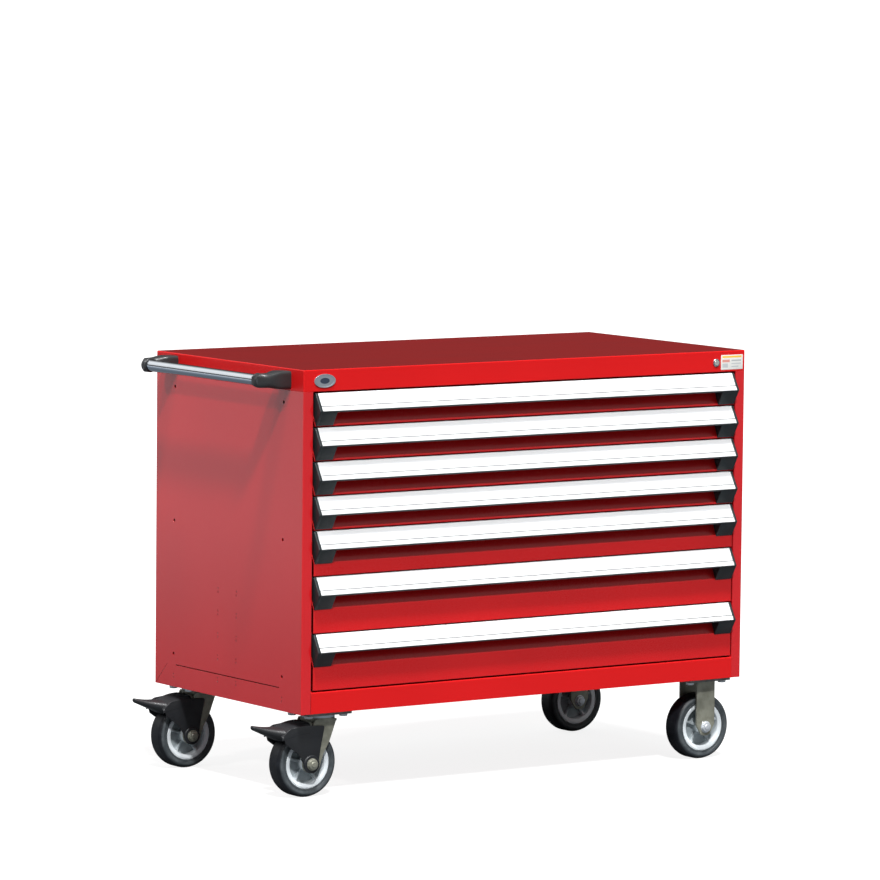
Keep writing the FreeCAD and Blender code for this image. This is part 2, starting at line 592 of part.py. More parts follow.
def foot_screws():
    """(y, z) of the push handle's screws through the skirt."""
    z = TOP - TUBE_DROP
    places = []
    for y in (FOOT_Y, HOUSING_D - FOOT_Y - FOOT_L):
        places += [(y + FOOT_L * share, z) for share in (0.28, 0.72)]
    return places


def screw_holes():
    """Drills for those screws, from the elbow through the skirt and the side panel's step."""
    return [rod(SCREW_R, (-SCREW_GRIP, y, z), (3 * SHEET, y, z)) for y, z in foot_screws()]


def push_bracket():
    """Front elbow: foot on the skirt, arm outwards, and a socket that holds the tube."""
    z, out = TOP - TUBE_DROP, TUBE_REACH + SOCKET_R
    mouth = FOOT_Y + SOCKET_LIP
    plan = [(0, FOOT_Y), (-out, FOOT_Y, SOCKET_R * 1.9), (-out, mouth), (SOCKET_R - TUBE_REACH, mouth, 3),
            (SOCKET_R - TUBE_REACH, FOOT_Y + FOOT_L, 3), (0, FOOT_Y + FOOT_L)]
    half, slim = FOOT_H / 2, SOCKET_R
    view = [(0, z - half), (-TUBE_REACH / 2, z - half, 20), (-TUBE_REACH, z - slim), (-out, z - slim, 14),
            (-out, z + slim, 14), (-TUBE_REACH, z + slim), (-TUBE_REACH / 2, z + half, 20), (0, z + half)]
    elbow = prism(plan, "xy", 0, 2 * TOP).common(prism(view, "xz", 0, HOUSING_D))
    seat = rod(TUBE_R, (-TUBE_REACH, FOOT_Y + SOCKET_R, z), (-TUBE_REACH, HOUSING_D, z))
    return elbow.cut(screw_holes() + [seat])


def push_handle():
    """Tube and its two elbows."""
    z = TOP - TUBE_DROP
    ends = (FOOT_Y + SOCKET_R, HOUSING_D - FOOT_Y - SOCKET_R)
    start, end = [(-TUBE_REACH, y, z) for y in ends]
    tube = rod(TUBE_R, start, end).cut(rod(TUBE_R - TUBE_WALL, start, end))
    front = push_bracket()
    rear = front.mirror(FreeCAD.Vector(0, HOUSING_D / 2, 0), FreeCAD.Vector(0, 1, 0))
    return tube, [front, rear]


def lock_place():
    """(x, z) of the lock's axis."""
    return HOUSING_W - LOCK_FROM_RIGHT, TOP - LOCK_DROP


def lock():
    """Collar in the skirt, turning plug with its cam, and the bar that the cam lifts."""
    x, z = lock_place()
    collar = rod(LOCK_R, (x, -LOCK_PROUD, z), (x, 0, z))
    sleeve = rod(PLUG_R + 2 * SHEET, (x, -LOCK_PROUD, z), (x, LOCK_DEPTH - CAM_T, z))
    bore = rod(PLUG_R + RUN_FIT, (x, -LOCK_DEPTH, z), (x, 2 * LOCK_DEPTH, z))
    housing = fuse([collar, sleeve]).cut(bore)
    plug = rod(PLUG_R, (x, -LOCK_PROUD, z), (x, LOCK_DEPTH + SEAM, z))
    cam_y = (LOCK_DEPTH - CAM_T + SEAM, LOCK_DEPTH + SEAM)
    cam = box((x, x + CAM_R), cam_y, (z - CAM_HALF, z + CAM_HALF))
    keyway = box((x - KEYWAY_W / 2, x + KEYWAY_W / 2), (-2 * LOCK_PROUD, KEYWAY_DEPTH - LOCK_PROUD),
                 (z - KEYWAY_H / 2, z + KEYWAY_H / 2))
    cylinder = fuse([plug, cam]).cut(keyway)
    bar_x = (HOUSING_W - BAR_SIDE - BAR_W, HOUSING_W - BAR_SIDE)
    upright = box(bar_x, (BAR_Y, BAR_Y + BAR_T), (BASE + BAND_H, z + CAM_RISE + ARM_H))
    arm = box((x, bar_x[1]), (cam_y[0], BAR_Y + BAR_T), (z + CAM_RISE, z + CAM_RISE + ARM_H))
    return housing, cylinder, fuse([upright, arm])


def badge_plate():
    """Plain oval plate on the skirt."""
    oval = Part.Ellipse(FreeCAD.Vector(0, 0, 0), BADGE_W / 2, BADGE_H / 2)
    plate = Part.Face(Part.Wire(oval.toShape())).extrude(FreeCAD.Vector(0, 0, BADGE_T))
    plate.rotate(FreeCAD.Vector(0, 0, 0), FreeCAD.Vector(1, 0, 0), 90)
    plate.translate(FreeCAD.Vector(BADGE_FROM_LEFT, 0, TOP - BADGE_DROP))
    return plate


def all_nodes():
    """Every node's solids by name."""
    left = side_panel()
    tube, brackets = push_handle()
    housing, cylinder, bar = lock()
    rigid = [(x, y) for _, x, y, swivels in caster_centres() if not swivels]
    nodes = {
        "side_panel_left": [left.cut(screw_holes())],
        "side_panel_right": [mirror_x(left)],
        "back_panel": [back_panel()],
        "bottom_rail": [bottom_rail()],
        "floor_pan": [floor_pan()],
        "top_cover": [top_cover()],
        "slide_posts": slide_posts(),
        "cabinet_rails": cabinet_rails(),
        "housing_bolts": housing_bolts(),
        "push_handle_tube": [tube],
        "push_handle_brackets": brackets,
        "lock_housing": [housing],
        "lock_cylinder": [cylinder],
        "lock_bar": [bar],
        "badge_plate": [badge_plate()],
        "caster_plates": caster_plates(),
        "rigid_forks": [rigid_fork(x, y) for x, y in rigid],
        "rigid_axles": [axle(x, y, LEG_OUT) for x, y in rigid],
    }
    for number, (top, pitch) in enumerate(zip(drawer_tops(), DRAWER_PITCHES), 1):
        nodes[f"drawer_tray_{number}"] = [drawer_tray(top, pitch)]
        nodes[f"drawer_handle_{number}"] = [drawer_handle(top)]
        nodes[f"handle_caps_{number}"] = handle_caps(top)
        nodes[f"slide_carriage_{number}"] = carriage(top)
    for name, x, y, swivels in caster_centres():
        wheel_x = x - SWIVEL_LEAD if swivels else x
        nodes[f"{name}_wheel_core"] = [wheel_core(wheel_x, y)]
        nodes[f"{name}_tyre"] = [tyre(wheel_x, y)]
        if swivels:
            nodes[f"{name}_fork"] = [swivel_fork(x, y)]
            nodes[f"{name}_axle"] = [axle(wheel_x, y, CHEEK_IN + BOSS_T + SEAM)]
            nodes[f"{name}_pedal"] = [brake_pedal(wheel_x, y)]
    return nodes


def export(nodes):
    """Move the origin under the middle of the whole model's box and write one file for each node."""
    shapes = {}
    for name, solids in nodes.items():
        shapes[name] = solids[0] if len(solids) == 1 else Part.makeCompound(solids)
    whole = Part.makeCompound(list(shapes.values())).optimalBoundingBox(False, False)
    shift = FreeCAD.Vector(-(whole.XMin + whole.XMax) / 2, -(whole.YMin + whole.YMax) / 2, 0)
    os.makedirs("parts", exist_ok=True)
    for name, shape in shapes.items():
        shape.translate(shift)
        shape.exportStep(f"parts/{name}.step")
    print(f"{len(shapes)} nodes, size {whole.XLength:.1f} x {whole.YLength:.1f} x {whole.ZLength:.1f} mm")
    print(f"shift {shift.x:.4f} {shift.y:.4f}, floor at {whole.ZMin:.4f}")


export(all_nodes())
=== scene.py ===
"""Mobile drawer cabinet: the looks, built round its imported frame. Metres, +Z up, +X right, +Y back."""

import math

import bmesh
import bpy
import numpy as np
from mathutils import Matrix, Vector


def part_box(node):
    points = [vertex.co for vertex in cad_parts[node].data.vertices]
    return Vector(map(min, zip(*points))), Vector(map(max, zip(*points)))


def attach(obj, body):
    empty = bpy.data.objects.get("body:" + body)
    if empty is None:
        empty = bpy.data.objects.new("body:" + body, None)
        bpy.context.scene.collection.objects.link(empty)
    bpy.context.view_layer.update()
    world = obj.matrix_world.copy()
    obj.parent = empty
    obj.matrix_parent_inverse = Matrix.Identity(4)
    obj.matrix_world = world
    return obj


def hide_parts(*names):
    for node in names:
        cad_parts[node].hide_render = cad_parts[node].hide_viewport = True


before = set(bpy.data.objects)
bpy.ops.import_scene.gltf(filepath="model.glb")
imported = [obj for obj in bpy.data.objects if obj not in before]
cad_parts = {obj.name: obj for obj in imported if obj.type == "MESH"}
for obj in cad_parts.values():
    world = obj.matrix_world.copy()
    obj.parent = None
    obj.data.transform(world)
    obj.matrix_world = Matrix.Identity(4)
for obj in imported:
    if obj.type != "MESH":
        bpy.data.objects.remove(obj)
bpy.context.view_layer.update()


# Housing: side panels with their front stiles, back, bottom rail, floor pan and lid, all folded from
# sheet steel, spot welded, and powder coated a gloss red. The coat has a fine orange-peel skin.
left_lo, left_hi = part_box("side_panel_left")
right_hi, lid_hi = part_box("side_panel_right")[1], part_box("top_cover")[1]
front_left = Vector((left_lo[0], left_lo[1], 0))
housing_w, housing_d = right_hi[0] - left_lo[0], left_hi[1] - left_lo[1]
base_z, top_z = left_lo[2], lid_hi[2]


def put(tree, kind, inputs=None, **settings):
    """Add a node: settings are its properties, inputs are values or the sockets that feed it."""
    node = tree.nodes.new("ShaderNode" + kind)
    for key, value in settings.items():
        setattr(node, key, value)
    for key, value in (inputs or {}).items():
        if isinstance(value, bpy.types.NodeSocket):
            tree.links.new(value, node.inputs[key])
        else:
            node.inputs[key].default_value = value
    return node


def math_of(tree, operation, *values):
    """Result of one arithmetic step on sockets or numbers."""
    return put(tree, "Math", dict(enumerate(values)), operation=operation).outputs[0]


def blend_colours(tree, share, first, second):
    """Colour between first and second, by share."""
    return put(tree, "Mix", {0: share, 6: first, 7: second}, data_type="RGBA").outputs[2]


def spread(tree, value, low, high):
    """A 0 to 1 value laid out from low to high."""
    return put(tree, "MapRange", {"Value": value, "To Min": low, "To Max": high}).outputs[0]


def window(tree, value, start, end):
    """0 below start, 1 above end, and a smooth rise between."""
    return put(tree, "MapRange", {"Value": value, "From Min": start, "From Max": end},
               interpolation_type="SMOOTHSTEP").outputs[0]


def effect(name, inputs, outputs):
    """Empty node group with number inputs and their defaults; returns it with its inner sockets."""
    tree = bpy.data.node_groups.new(name, "ShaderNodeTree")
    for key, value in inputs.items():
        socket = tree.interface.new_socket(name=key, in_out="INPUT", socket_type="NodeSocketFloat")
        socket.default_value = value
    for key, kind in outputs.items():
        tree.interface.new_socket(name=key, in_out="OUTPUT", socket_type="NodeSocket" + kind)
    return tree, tree.nodes.new("NodeGroupInput").outputs, tree.nodes.new("NodeGroupOutput").inputs


def use(tree, group, **inputs):
    """Place an effect in a material with its own values, and return its outputs."""
    node = tree.nodes.new("ShaderNodeGroup")
    node.node_tree = group
    for key, value in inputs.items():
        node.inputs[key].default_value = value
    return node.outputs


def own_place(tree):
    """Each point's place in the piece's own metres."""
    return put(tree, "TexCoord").outputs["Object"]


def upward(tree, vector=None):
    """The Z part of a vector, or of the surface normal."""
    return put(tree, "SeparateXYZ", {0: vector or put(tree, "NewGeometry").outputs["Normal"]}).outputs[2]


def stretched(tree, where, scale, **settings):
    """Places scaled by a different amount each way."""
    return put(tree, "Mapping", {"Vector": where, "Scale": scale, **settings}).outputs[0]


def noise(tree, where, scale=1.0, detail=2.0, rough=0.5):
    """Cloudy 0 to 1 noise; scale counts its lumps to the metre."""
    values = {"Vector": where, "Scale": scale, "Detail": detail, "Roughness": rough}
    return put(tree, "TexNoise", values).outputs["Fac"]


def alignment(tree, first, second):
    """Dot product of two vectors."""
    return put(tree, "VectorMath", {0: first, 1: second}, operation="DOT_PRODUCT").outputs["Value"]


# An edge is where the rounded normal leaves the flat one. Wear comes in patches along it.
edge_wear, given, results = effect("edge_wear", {"Radius": 0.001, "Patch": 60.0, "Amount": 0.6},
                                   {"Mask": "Float", "Normal": "Vector"})
soft_edge = put(edge_wear, "Bevel", {"Radius": given["Radius"]}, samples=4).outputs[0]
flat_face = put(edge_wear, "NewGeometry").outputs["Normal"]
bend = math_of(edge_wear, "SUBTRACT", 1.0, alignment(edge_wear, soft_edge, flat_face))
at_edge = window(edge_wear, bend, 0.01, 0.16)
patches = window(edge_wear, noise(edge_wear, own_place(edge_wear), given["Patch"], detail=4.0), 0.38, 0.62)
worn = math_of(edge_wear, "MULTIPLY", math_of(edge_wear, "MULTIPLY", at_edge, patches), given["Amount"])
edge_wear.links.new(worn, results["Mask"])
edge_wear.links.new(soft_edge, results["Normal"])

# Sprayed coats ripple at a millimetre or two, drift in tone over a hand's width and pick up dry smears.
coat_skin, given, results = effect("coat_skin", {"Ripple": 700.0, "Drift": 3.0},
                                   {"Height": "Float", "Tone": "Float", "Smear": "Float"})
spots = own_place(coat_skin)
drift = noise(coat_skin, spots, given["Drift"], detail=1.0)
wiped = stretched(coat_skin, spots, (4.0, 14.0, 4.0), Rotation=(0.3, 0.5, 0.2))
smears = noise(coat_skin, wiped, 1.6, detail=1.0)
coat_skin.links.new(noise(coat_skin, spots, given["Ripple"], detail=1.0), results["Height"])
coat_skin.links.new(window(coat_skin, drift, 0.15, 0.85), results["Tone"])
coat_skin.links.new(window(coat_skin, smears, 0.15, 0.90), results["Smear"])

# Painted shade: colour darkens where neighbouring faces shut out the light, in grooves, dimples and under
# lips.
painted_crease_shade, given, results = effect("painted_crease_shade", {"Reach": 0.003}, {"Mask": "Float"})
open_sky = put(painted_crease_shade, "AmbientOcclusion", {"Distance": given["Reach"]}, samples=12,
               only_local=True).outputs["AO"]
open_share = window(painted_crease_shade, open_sky, 0.45, 0.97)
painted_crease_shade.links.new(math_of(painted_crease_shade, "SUBTRACT", 1.0, open_share), results["Mask"])


def surface(name, metallic=0.0, specular=0.5, coat=0.0, coat_rough=0.1):
    """New material: its tree and its shader, with the values that are the same all over it."""
    material = bpy.data.materials.new(name)
    material.use_nodes = True
    shader = material.node_tree.nodes["Principled BSDF"]
    shader.inputs["Metallic"].default_value = metallic
    shader.inputs["Specular IOR Level"].default_value = specular
    shader.inputs["Coat Weight"].default_value = coat
    shader.inputs["Coat Roughness"].default_value = coat_rough
    return material, material.node_tree, shader


def dress(tree, shader, colour, rough):
    """Feed the shader its colour and roughness."""
    tree.links.new(colour, shader.inputs["Base Color"])
    tree.links.new(rough, shader.inputs["Roughness"])


def skin_bump(tree, shader, height, depth, normal=None):
    """Raise the skin by height times depth, over the softened edges where they are given."""
    values = {"Height": height, "Strength": 1.0, "Distance": depth}
    if normal:
        values["Normal"] = normal
    tree.links.new(put(tree, "Bump", values).outputs[0], shader.inputs["Normal"])


def powder_coat(name, colour, deep, worn_edge_highlight, rough, specular, coat=0.0, shaded_top=None, shade_reach=0.0015):
    """Gloss powder coat: tone drifts between colour and deep, and edges rub towards a paler edge colour,
    partly wear and partly a painted edge highlight. Painted shade darkens its recesses. A given level
    top is its height and two darker tones, painted shade that makes the top look less lit."""
    material, tree, shader = surface(name, specular=specular, coat=coat, coat_rough=0.06)
    skin = use(tree, coat_skin)
    wear = use(tree, edge_wear, Radius=0.0012, Patch=45.0, Amount=0.45)
    sprayed = blend_colours(tree, skin["Tone"], colour, deep)
    # Painted shade: points at the top's height take darker tones, as if the top caught less light.
    if shaded_top:
        level = window(tree, upward(tree, own_place(tree)), shaded_top[0] - 0.0008, shaded_top[0] - 0.0002)
        top_shade_tones = blend_colours(tree, skin["Smear"], shaded_top[1], shaded_top[2])
        sprayed = blend_colours(tree, level, sprayed, top_shade_tones)
    # Painted shade: occluded recesses are coloured a near-black red.
    painted_shade = use(tree, painted_crease_shade, Reach=shade_reach)["Mask"]
    with_painted_shade = blend_colours(tree, painted_shade, sprayed, (0.07, 0.004, 0.005, 1))
    dull = math_of(tree, "ADD", spread(tree, skin["Height"], rough, rough + 0.03),
                   math_of(tree, "MULTIPLY", wear["Mask"], 0.25))
    # Edges go to the paler edge colour: partly wear, partly a painted edge highlight.
    dress(tree, shader, blend_colours(tree, wear["Mask"], with_painted_shade, worn_edge_highlight), dull)
    skin_bump(tree, shader, skin["Height"], 0.00004, wear["Normal"])
    return material


def finish_nodes(material, *names):
    """Give CAD nodes this finish."""
    for name in names:
        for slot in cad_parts[name].material_slots:
            slot.material = material


housing_red = powder_coat("housing_red", (0.64, 0.008, 0.012, 1), (0.55, 0.006, 0.010, 1),
                          (0.75, 0.10, 0.09, 1), 0.22, 0.45, coat=0.8, shade_reach=0.003)
finish_nodes(housing_red, "side_panel_left", "side_panel_right", "back_panel", "floor_pan", "slide_posts")
rail_red = powder_coat("rail_red", (0.67, 0.009, 0.010, 1), (0.62, 0.008, 0.009, 1),
                       (0.80, 0.12, 0.10, 1), 0.32, 0.25)
finish_nodes(rail_red, "bottom_rail")
# The lid's level top gets darker tones than its skirts: painted shade, so the top looks less lit.
lid_red = powder_coat("lid_red", (0.66, 0.009, 0.010, 1), (0.61, 0.008, 0.009, 1),
                      (0.80, 0.12, 0.10, 1), 0.34, 0.20,
                      shaded_top=(top_z, (0.165, 0.005, 0.005, 1), (0.150, 0.006, 0.006, 1)))
finish_nodes(lid_red, "top_cover")


# Drawers: each a folded box of thinner sheet with its front set back under the pull, coated like the
# housing. The box inside has the same coat.
drawer_numbers = range(1, 8)
drawer_red = powder_coat("drawer_red", (0.66, 0.009, 0.011, 1), (0.58, 0.007, 0.009, 1),
                         (0.78, 0.12, 0.10, 1), 0.26, 0.35, coat=0.3)
finish_nodes(drawer_red, *(f"drawer_tray_{n}" for n in drawer_numbers))


# Slides: roll-formed rails welded in the housing and carriages that run in them, zinc plated in a
# barrel. The zinc has a pale blue cast, fine grain along the rail, and grey marks where the lips rub.
along_rail, given, results = effect("along_rail", {"Fine": 900.0, "Long": 12.0}, {"Streak": "Float"})
cut = put(along_rail, "SeparateXYZ", {0: own_place(along_rail)})
drawn = put(along_rail, "CombineXYZ", {0: math_of(along_rail, "MULTIPLY", cut.outputs[0], given["Fine"]),
                                       1: math_of(along_rail, "MULTIPLY", cut.outputs[1], given["Long"]),
                                       2: math_of(along_rail, "MULTIPLY", cut.outputs[2], given["Fine"])})
along_rail.links.new(noise(along_rail, drawn.outputs[0], detail=3.0), results["Streak"])


def plated(name, pale, dark, rough, patch=90.0, wear_amount=0.5, low_part=None):
    """Barrel-plated steel: cloudy tone between pale and dark, brighter rubbed edges, faint pitting.
    low_part is the height under which it is left bright, and the tone there."""
    material, tree, shader = surface(name, metallic=0.55)
    wear = use(tree, edge_wear, Radius=0.0008, Patch=patch, Amount=wear_amount)
    spots = own_place(tree)
    clouds = window(tree, noise(tree, spots, 38.0, detail=5.0, rough=0.6), 0.32, 0.68)
    tone = blend_colours(tree, clouds, dark, pale)
    if low_part:
        under = window(tree, upward(tree, spots), low_part[0] - 0.0004, low_part[0] - 0.0012)
        tone = blend_colours(tree, under, tone, low_part[1])
    pits = noise(tree, spots, 1400.0)
    dress(tree, shader, blend_colours(tree, wear["Mask"], tone, (0.85, 0.86, 0.86, 1)),
          spread(tree, math_of(tree, "MULTIPLY", clouds, pits), rough + 0.12, rough - 0.05))
    skin_bump(tree, shader, pits, 0.00003, wear["Normal"])
    return material


slide_zinc, tree, shader = surface("slide_zinc", metallic=0.95)
grain = use(tree, along_rail)["Streak"]
wear = use(tree, edge_wear, Radius=0.0006, Patch=120.0, Amount=0.6)
tone = blend_colours(tree, grain, (0.46, 0.49, 0.52, 1), (0.66, 0.68, 0.70, 1))
dress(tree, shader, blend_colours(tree, wear["Mask"], tone, (0.85, 0.86, 0.87, 1)),
      spread(tree, grain, 0.42, 0.28))
skin_bump(tree, shader, grain, 0.00003, wear["Normal"])
finish_nodes(slide_zinc, "cabinet_rails", *(f"slide_carriage_{n}" for n in drawer_numbers))


# Pulls: aluminium extrusions as wide as the drawer, clear anodised nearly white, with die lines that
# run the whole length. Painted shade darkens its groove and whatever faces the floor.
pull_white, tree, shader = surface("pull_white", metallic=0.2, specular=0.5)
spots = own_place(tree)
die_lines = noise(tree, stretched(tree, spots, (3.0, 1200.0, 1200.0)), detail=3.0)
clouds = noise(tree, spots, 9.0, detail=4.0)
wear = use(tree, edge_wear, Radius=0.0007, Patch=30.0, Amount=0.35)
mottle = math_of(tree, "MULTIPLY", die_lines, clouds)
tone = blend_colours(tree, mottle, (0.93, 0.94, 0.95, 1), (0.82, 0.83, 0.85, 1))
tone = blend_colours(tree, wear["Mask"], tone, (0.70, 0.71, 0.73, 1))
# Painted shade: the groove, found by occlusion, and the faces turned to the floor are coloured near black.
crease_shade = use(tree, painted_crease_shade, Reach=0.006)["Mask"]
painted_shade = math_of(tree, "MAXIMUM", crease_shade, window(tree, upward(tree), 0.0, -0.28))
dress(tree, shader, blend_colours(tree, painted_shade, tone, (0.06, 0.07, 0.075, 1)),
      spread(tree, die_lines, 0.26, 0.40))
skin_bump(tree, shader, die_lines, 0.00002, wear["Normal"])
finish_nodes(pull_white, *(f"drawer_handle_{n}" for n in drawer_numbers))


# End caps: black nylon mouldings pushed into both ends of a pull. A plate covers the extrusion's end,
# and a block fills the space under it, back to the drawer front. Their edges are softly rounded.
CAP_EDGE = 0.0008
CAP_PROUD = 0.001
CAP_BLOCK_W = 0.0397              # block under a pull's end
PULL_FALL = 0.0381                # height of a pull's slanted face
BEND_R = 0.0025                   # fold radius of the drawer front


def rounded(corners, steps=7):
    """Closed outline through (a, b) or (a, b, radius) corners. A radius makes an arc that touches both
    sides of its corner: its centre lies on the corner's bisector, radius / sin(half angle) away."""
    points = []
    for i, corner in enumerate(corners):
        here = np.array(corner[:2], float)
        if len(corner) < 3:
            points.append(here[None])
            continue
        before = np.array(corners[i - 1][:2]) - here
        after = np.array(corners[(i + 1) % len(corners)][:2]) - here
        before, after = before / np.linalg.norm(before), after / np.linalg.norm(after)
        half = math.acos(np.clip(before @ after, -1, 1)) / 2
        middle = (before + after) / np.linalg.norm(before + after)
        centre = here + middle * corner[2] / math.sin(half)
        start = here + before * corner[2] / math.tan(half) - centre
        end = here + after * corner[2] / math.tan(half) - centre
        first = math.atan2(start[1], start[0])
        sweep = (math.atan2(end[1], end[0]) - first + math.pi) % (2 * math.pi) - math.pi
        turn = first + sweep * np.linspace(0, 1, steps)
        points.append(centre + corner[2] * np.c_[np.cos(turn), np.sin(turn)])
    return np.vstack(points)


def drawn_in(outline, inset):
    """Outline moved inwards: each point goes along the mean of its two sides' normals, mitred."""
    area = np.sum(outline[:, 0] * np.roll(outline[:, 1], -1) - np.roll(outline[:, 0], -1) * outline[:, 1])
    side = np.roll(outline, -1, 0) - outline
    side /= np.linalg.norm(side, axis=1)[:, None] + 1e-12
    normal = np.c_[-side[:, 1], side[:, 0]] * np.sign(area)
    last = np.roll(normal, 1, 0)
    share = 1 + np.sum(normal * last, axis=1)
    return outline + inset * (normal + last) / np.maximum(share, 0.35)[:, None]


def moulded(outline, span, edge, a_axis, b_axis, run_axis, origin=(0, 0, 0), steps=4):
    """Block with soft ends: the outline is carried from span[0] to span[1] and drawn in near each end
    along a quarter circle of radius edge. Returns points and faces."""
    turn = np.linspace(0, math.pi / 2, steps)
    inset = edge * (1 - np.r_[np.sin(turn), np.cos(turn)])
    place = np.r_[span[0] + edge * (1 - np.cos(turn)), span[1] - edge * (1 - np.sin(turn))]
    rings = np.stack([drawn_in(outline, i) for i in inset])
    axes = np.array([a_axis, b_axis], float)
    points = rings @ axes + place[:, None, None] * np.array(run_axis, float) + np.array(origin, float)
    count = len(outline)
    points, faces = skin(points, wrap_columns=True)
    return points, faces + [tuple(range(count))[::-1], tuple(range(len(points) - count, len(points)))]


def skin(grid, wrap_rows=False, wrap_columns=False):
    """Four-sided faces over a grid of points, joined round where a direction wraps."""
    rows, columns = grid.shape[:2]
    index = np.arange(rows * columns).reshape(rows, columns)
    if wrap_rows:
        index = np.vstack([index, index[:1]])
    if wrap_columns:
        index = np.hstack([index, index[:, :1]])
    quads = np.stack([index[:-1, :-1], index[1:, :-1], index[1:, 1:], index[:-1, 1:]], axis=-1)
    return grid.reshape(-1, 3), [tuple(q) for q in quads.reshape(-1, 4).tolist()]


def build(name, parts, finish, body, nodes, sharp=35):
    """One mesh object from (points, faces) or (points, faces, mark) parts. Doubles are merged and faces
    turned outwards; mark is a number at each point, kept as the attribute 'mark'."""
    mesh = bpy.data.meshes.new(name)
    starts = np.cumsum([0] + [len(part[0]) for part in parts])
    points = np.vstack([part[0] for part in parts])
    faces = [tuple(i + start for i in face) for part, start in zip(parts, starts) for face in part[1]]
    mesh.from_pydata(points.tolist(), [], faces)
    marks = np.concatenate([part[2] if len(part) > 2 else np.zeros(len(part[0])) for part in parts])
    mesh.attributes.new("mark", "FLOAT", "POINT").data.foreach_set("value", marks.astype(np.float32))
    work = bmesh.new()
    work.from_mesh(mesh)
    bmesh.ops.remove_doubles(work, verts=work.verts, dist=1e-6)
    bmesh.ops.dissolve_degenerate(work, edges=work.edges, dist=1e-7)
    bmesh.ops.recalc_face_normals(work, faces=work.faces)
    work.to_mesh(mesh)
    work.free()
    mesh.materials.append(finish)
    mesh.shade_smooth()
    mesh.set_sharp_from_angle(angle=math.radians(sharp))
    piece = bpy.data.objects.new(name, mesh)
    bpy.context.scene.collection.objects.link(piece)
    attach(piece, body)
    if nodes:
        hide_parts(*nodes)
    return piece


def moulded_plastic(name, colour, pale, rough, grain=2600.0, depth=0.00005):
    """Moulded plastic: spark-eroded skin, greyer where hands and shoes polish the edges."""
    material, tree, shader = surface(name, specular=0.5)
    spots = own_place(tree)
    texture = noise(tree, spots, grain)
    clouds = window(tree, noise(tree, spots, 30.0, detail=4.0), 0.3, 0.7)
    wear = use(tree, edge_wear, Radius=0.0012, Patch=70.0, Amount=0.7)
    tone = blend_colours(tree, clouds, colour, tuple(1.35 * c for c in colour[:3]) + (1,))
    polish = math_of(tree, "MULTIPLY", wear["Mask"], 0.15)
    dress(tree, shader, blend_colours(tree, wear["Mask"], tone, pale),
          math_of(tree, "SUBTRACT", spread(tree, clouds, rough + 0.08, rough - 0.06), polish))
    skin_bump(tree, shader, texture, depth, wear["Normal"])
    return material


cap_black = moulded_plastic("cap_black", (0.012, 0.018, 0.020, 1), (0.075, 0.090, 0.095, 1), 0.42)
ACROSS, BACK, UP = (1, 0, 0), (0, 1, 0), (0, 0, 1)
for n in drawer_numbers:
    cap_lo, cap_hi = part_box(f"handle_caps_{n}")
    pull_lo, pull_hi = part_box(f"drawer_handle_{n}")
    front_y, lip_y, recess_y = front_left.y, cap_lo[1], cap_hi[1]
    lip_z, under_z, foot_z = cap_hi[2] - PULL_FALL, pull_lo[2], cap_lo[2]
    plate = rounded([(recess_y, cap_hi[2]), (front_y, cap_hi[2], CAP_PROUD),
                     (lip_y, lip_z, 2 * CAP_PROUD), (front_y - CAP_PROUD, foot_z),
                     (front_y, foot_z + CAP_PROUD), (recess_y, under_z, BEND_R)])
    share = (lip_z - under_z) / (lip_z - foot_z)
    nose_y = lip_y + (front_y - CAP_PROUD - lip_y) * share
    block = rounded([(recess_y, under_z, BEND_R), (nose_y, under_z), (front_y - CAP_PROUD, foot_z),
                     (front_y, foot_z + CAP_PROUD)])
    spans = [(plate, cap_lo[0], pull_lo[0]), (block, pull_lo[0] - CAP_EDGE, pull_lo[0] + CAP_BLOCK_W),
             (plate, pull_hi[0], cap_hi[0]), (block, pull_hi[0] - CAP_BLOCK_W, pull_hi[0] + CAP_EDGE)]
    parts = [moulded(outline, (start, end), CAP_EDGE, BACK, UP, ACROSS) for outline, start, end in spans]
    build(f"end_caps_{n}", parts, cap_black, f"drawer_{n}", [f"handle_caps_{n}"])


# Lock: a chromed collar pressed into the front skirt, round a plug that turns a quarter with its key.
# Behind it a cam lifts a flat steel bar that holds the drawers shut.
LOCK_BORE, LOCK_SLEEVE = 0.00606, 0.009         # radii of the collar's bore and of its part in the skirt


def turned(profile, centre, axis, steps=72, closed=True):
    """Surface of revolution: profile rows are (radius, distance along the axis). The point at turn u is
    centre + distance * axis + radius * (cos u * side + sin u * rise). The mark is length along the
    profile."""
    profile = np.array(profile, float)
    axis = np.array(axis, float)
    side = np.cross(axis, (0.31, 0.17, 0.93))
    side /= np.linalg.norm(side)
    rise = np.cross(axis, side)
    u = np.linspace(0, 2 * math.pi, steps, endpoint=False)
    spoke = np.cos(u)[:, None] * side + np.sin(u)[:, None] * rise
    points = (np.array(centre, float) + profile[None, :, 1, None] * axis
              + profile[None, :, 0, None] * spoke[:, None, :])
    length = np.r_[0, np.cumsum(np.linalg.norm(np.diff(profile, axis=0), axis=1))]
    grid, faces = skin(points, wrap_rows=True, wrap_columns=closed)
    return grid, faces, np.tile(length, steps)


chrome, tree, shader = surface("chrome", metallic=1.0)
spots = own_place(tree)
clouds = noise(tree, spots, 22.0, detail=5.0, rough=0.6)
hairlines = noise(tree, stretched(tree, spots, (2400.0, 16.0, 2400.0)))
tone = blend_colours(tree, clouds, (0.66, 0.71, 0.77, 1), (0.80, 0.84, 0.88, 1))
# Painted reflection: the lower side is coloured a dark blue grey, as if it mirrored a dim floor.
painted_dark_underside = window(tree, upward(tree), 0.20, -0.25)   # painted reflection: the lower side is dark, the upper side bright
dress(tree, shader, blend_colours(tree, painted_dark_underside, tone, (0.30, 0.36, 0.43, 1)),
      math_of(tree, "ADD", spread(tree, clouds, 0.06, 0.13), math_of(tree, "MULTIPLY", hairlines, 0.05)))
skin_bump(tree, shader, hairlines, 0.000006)

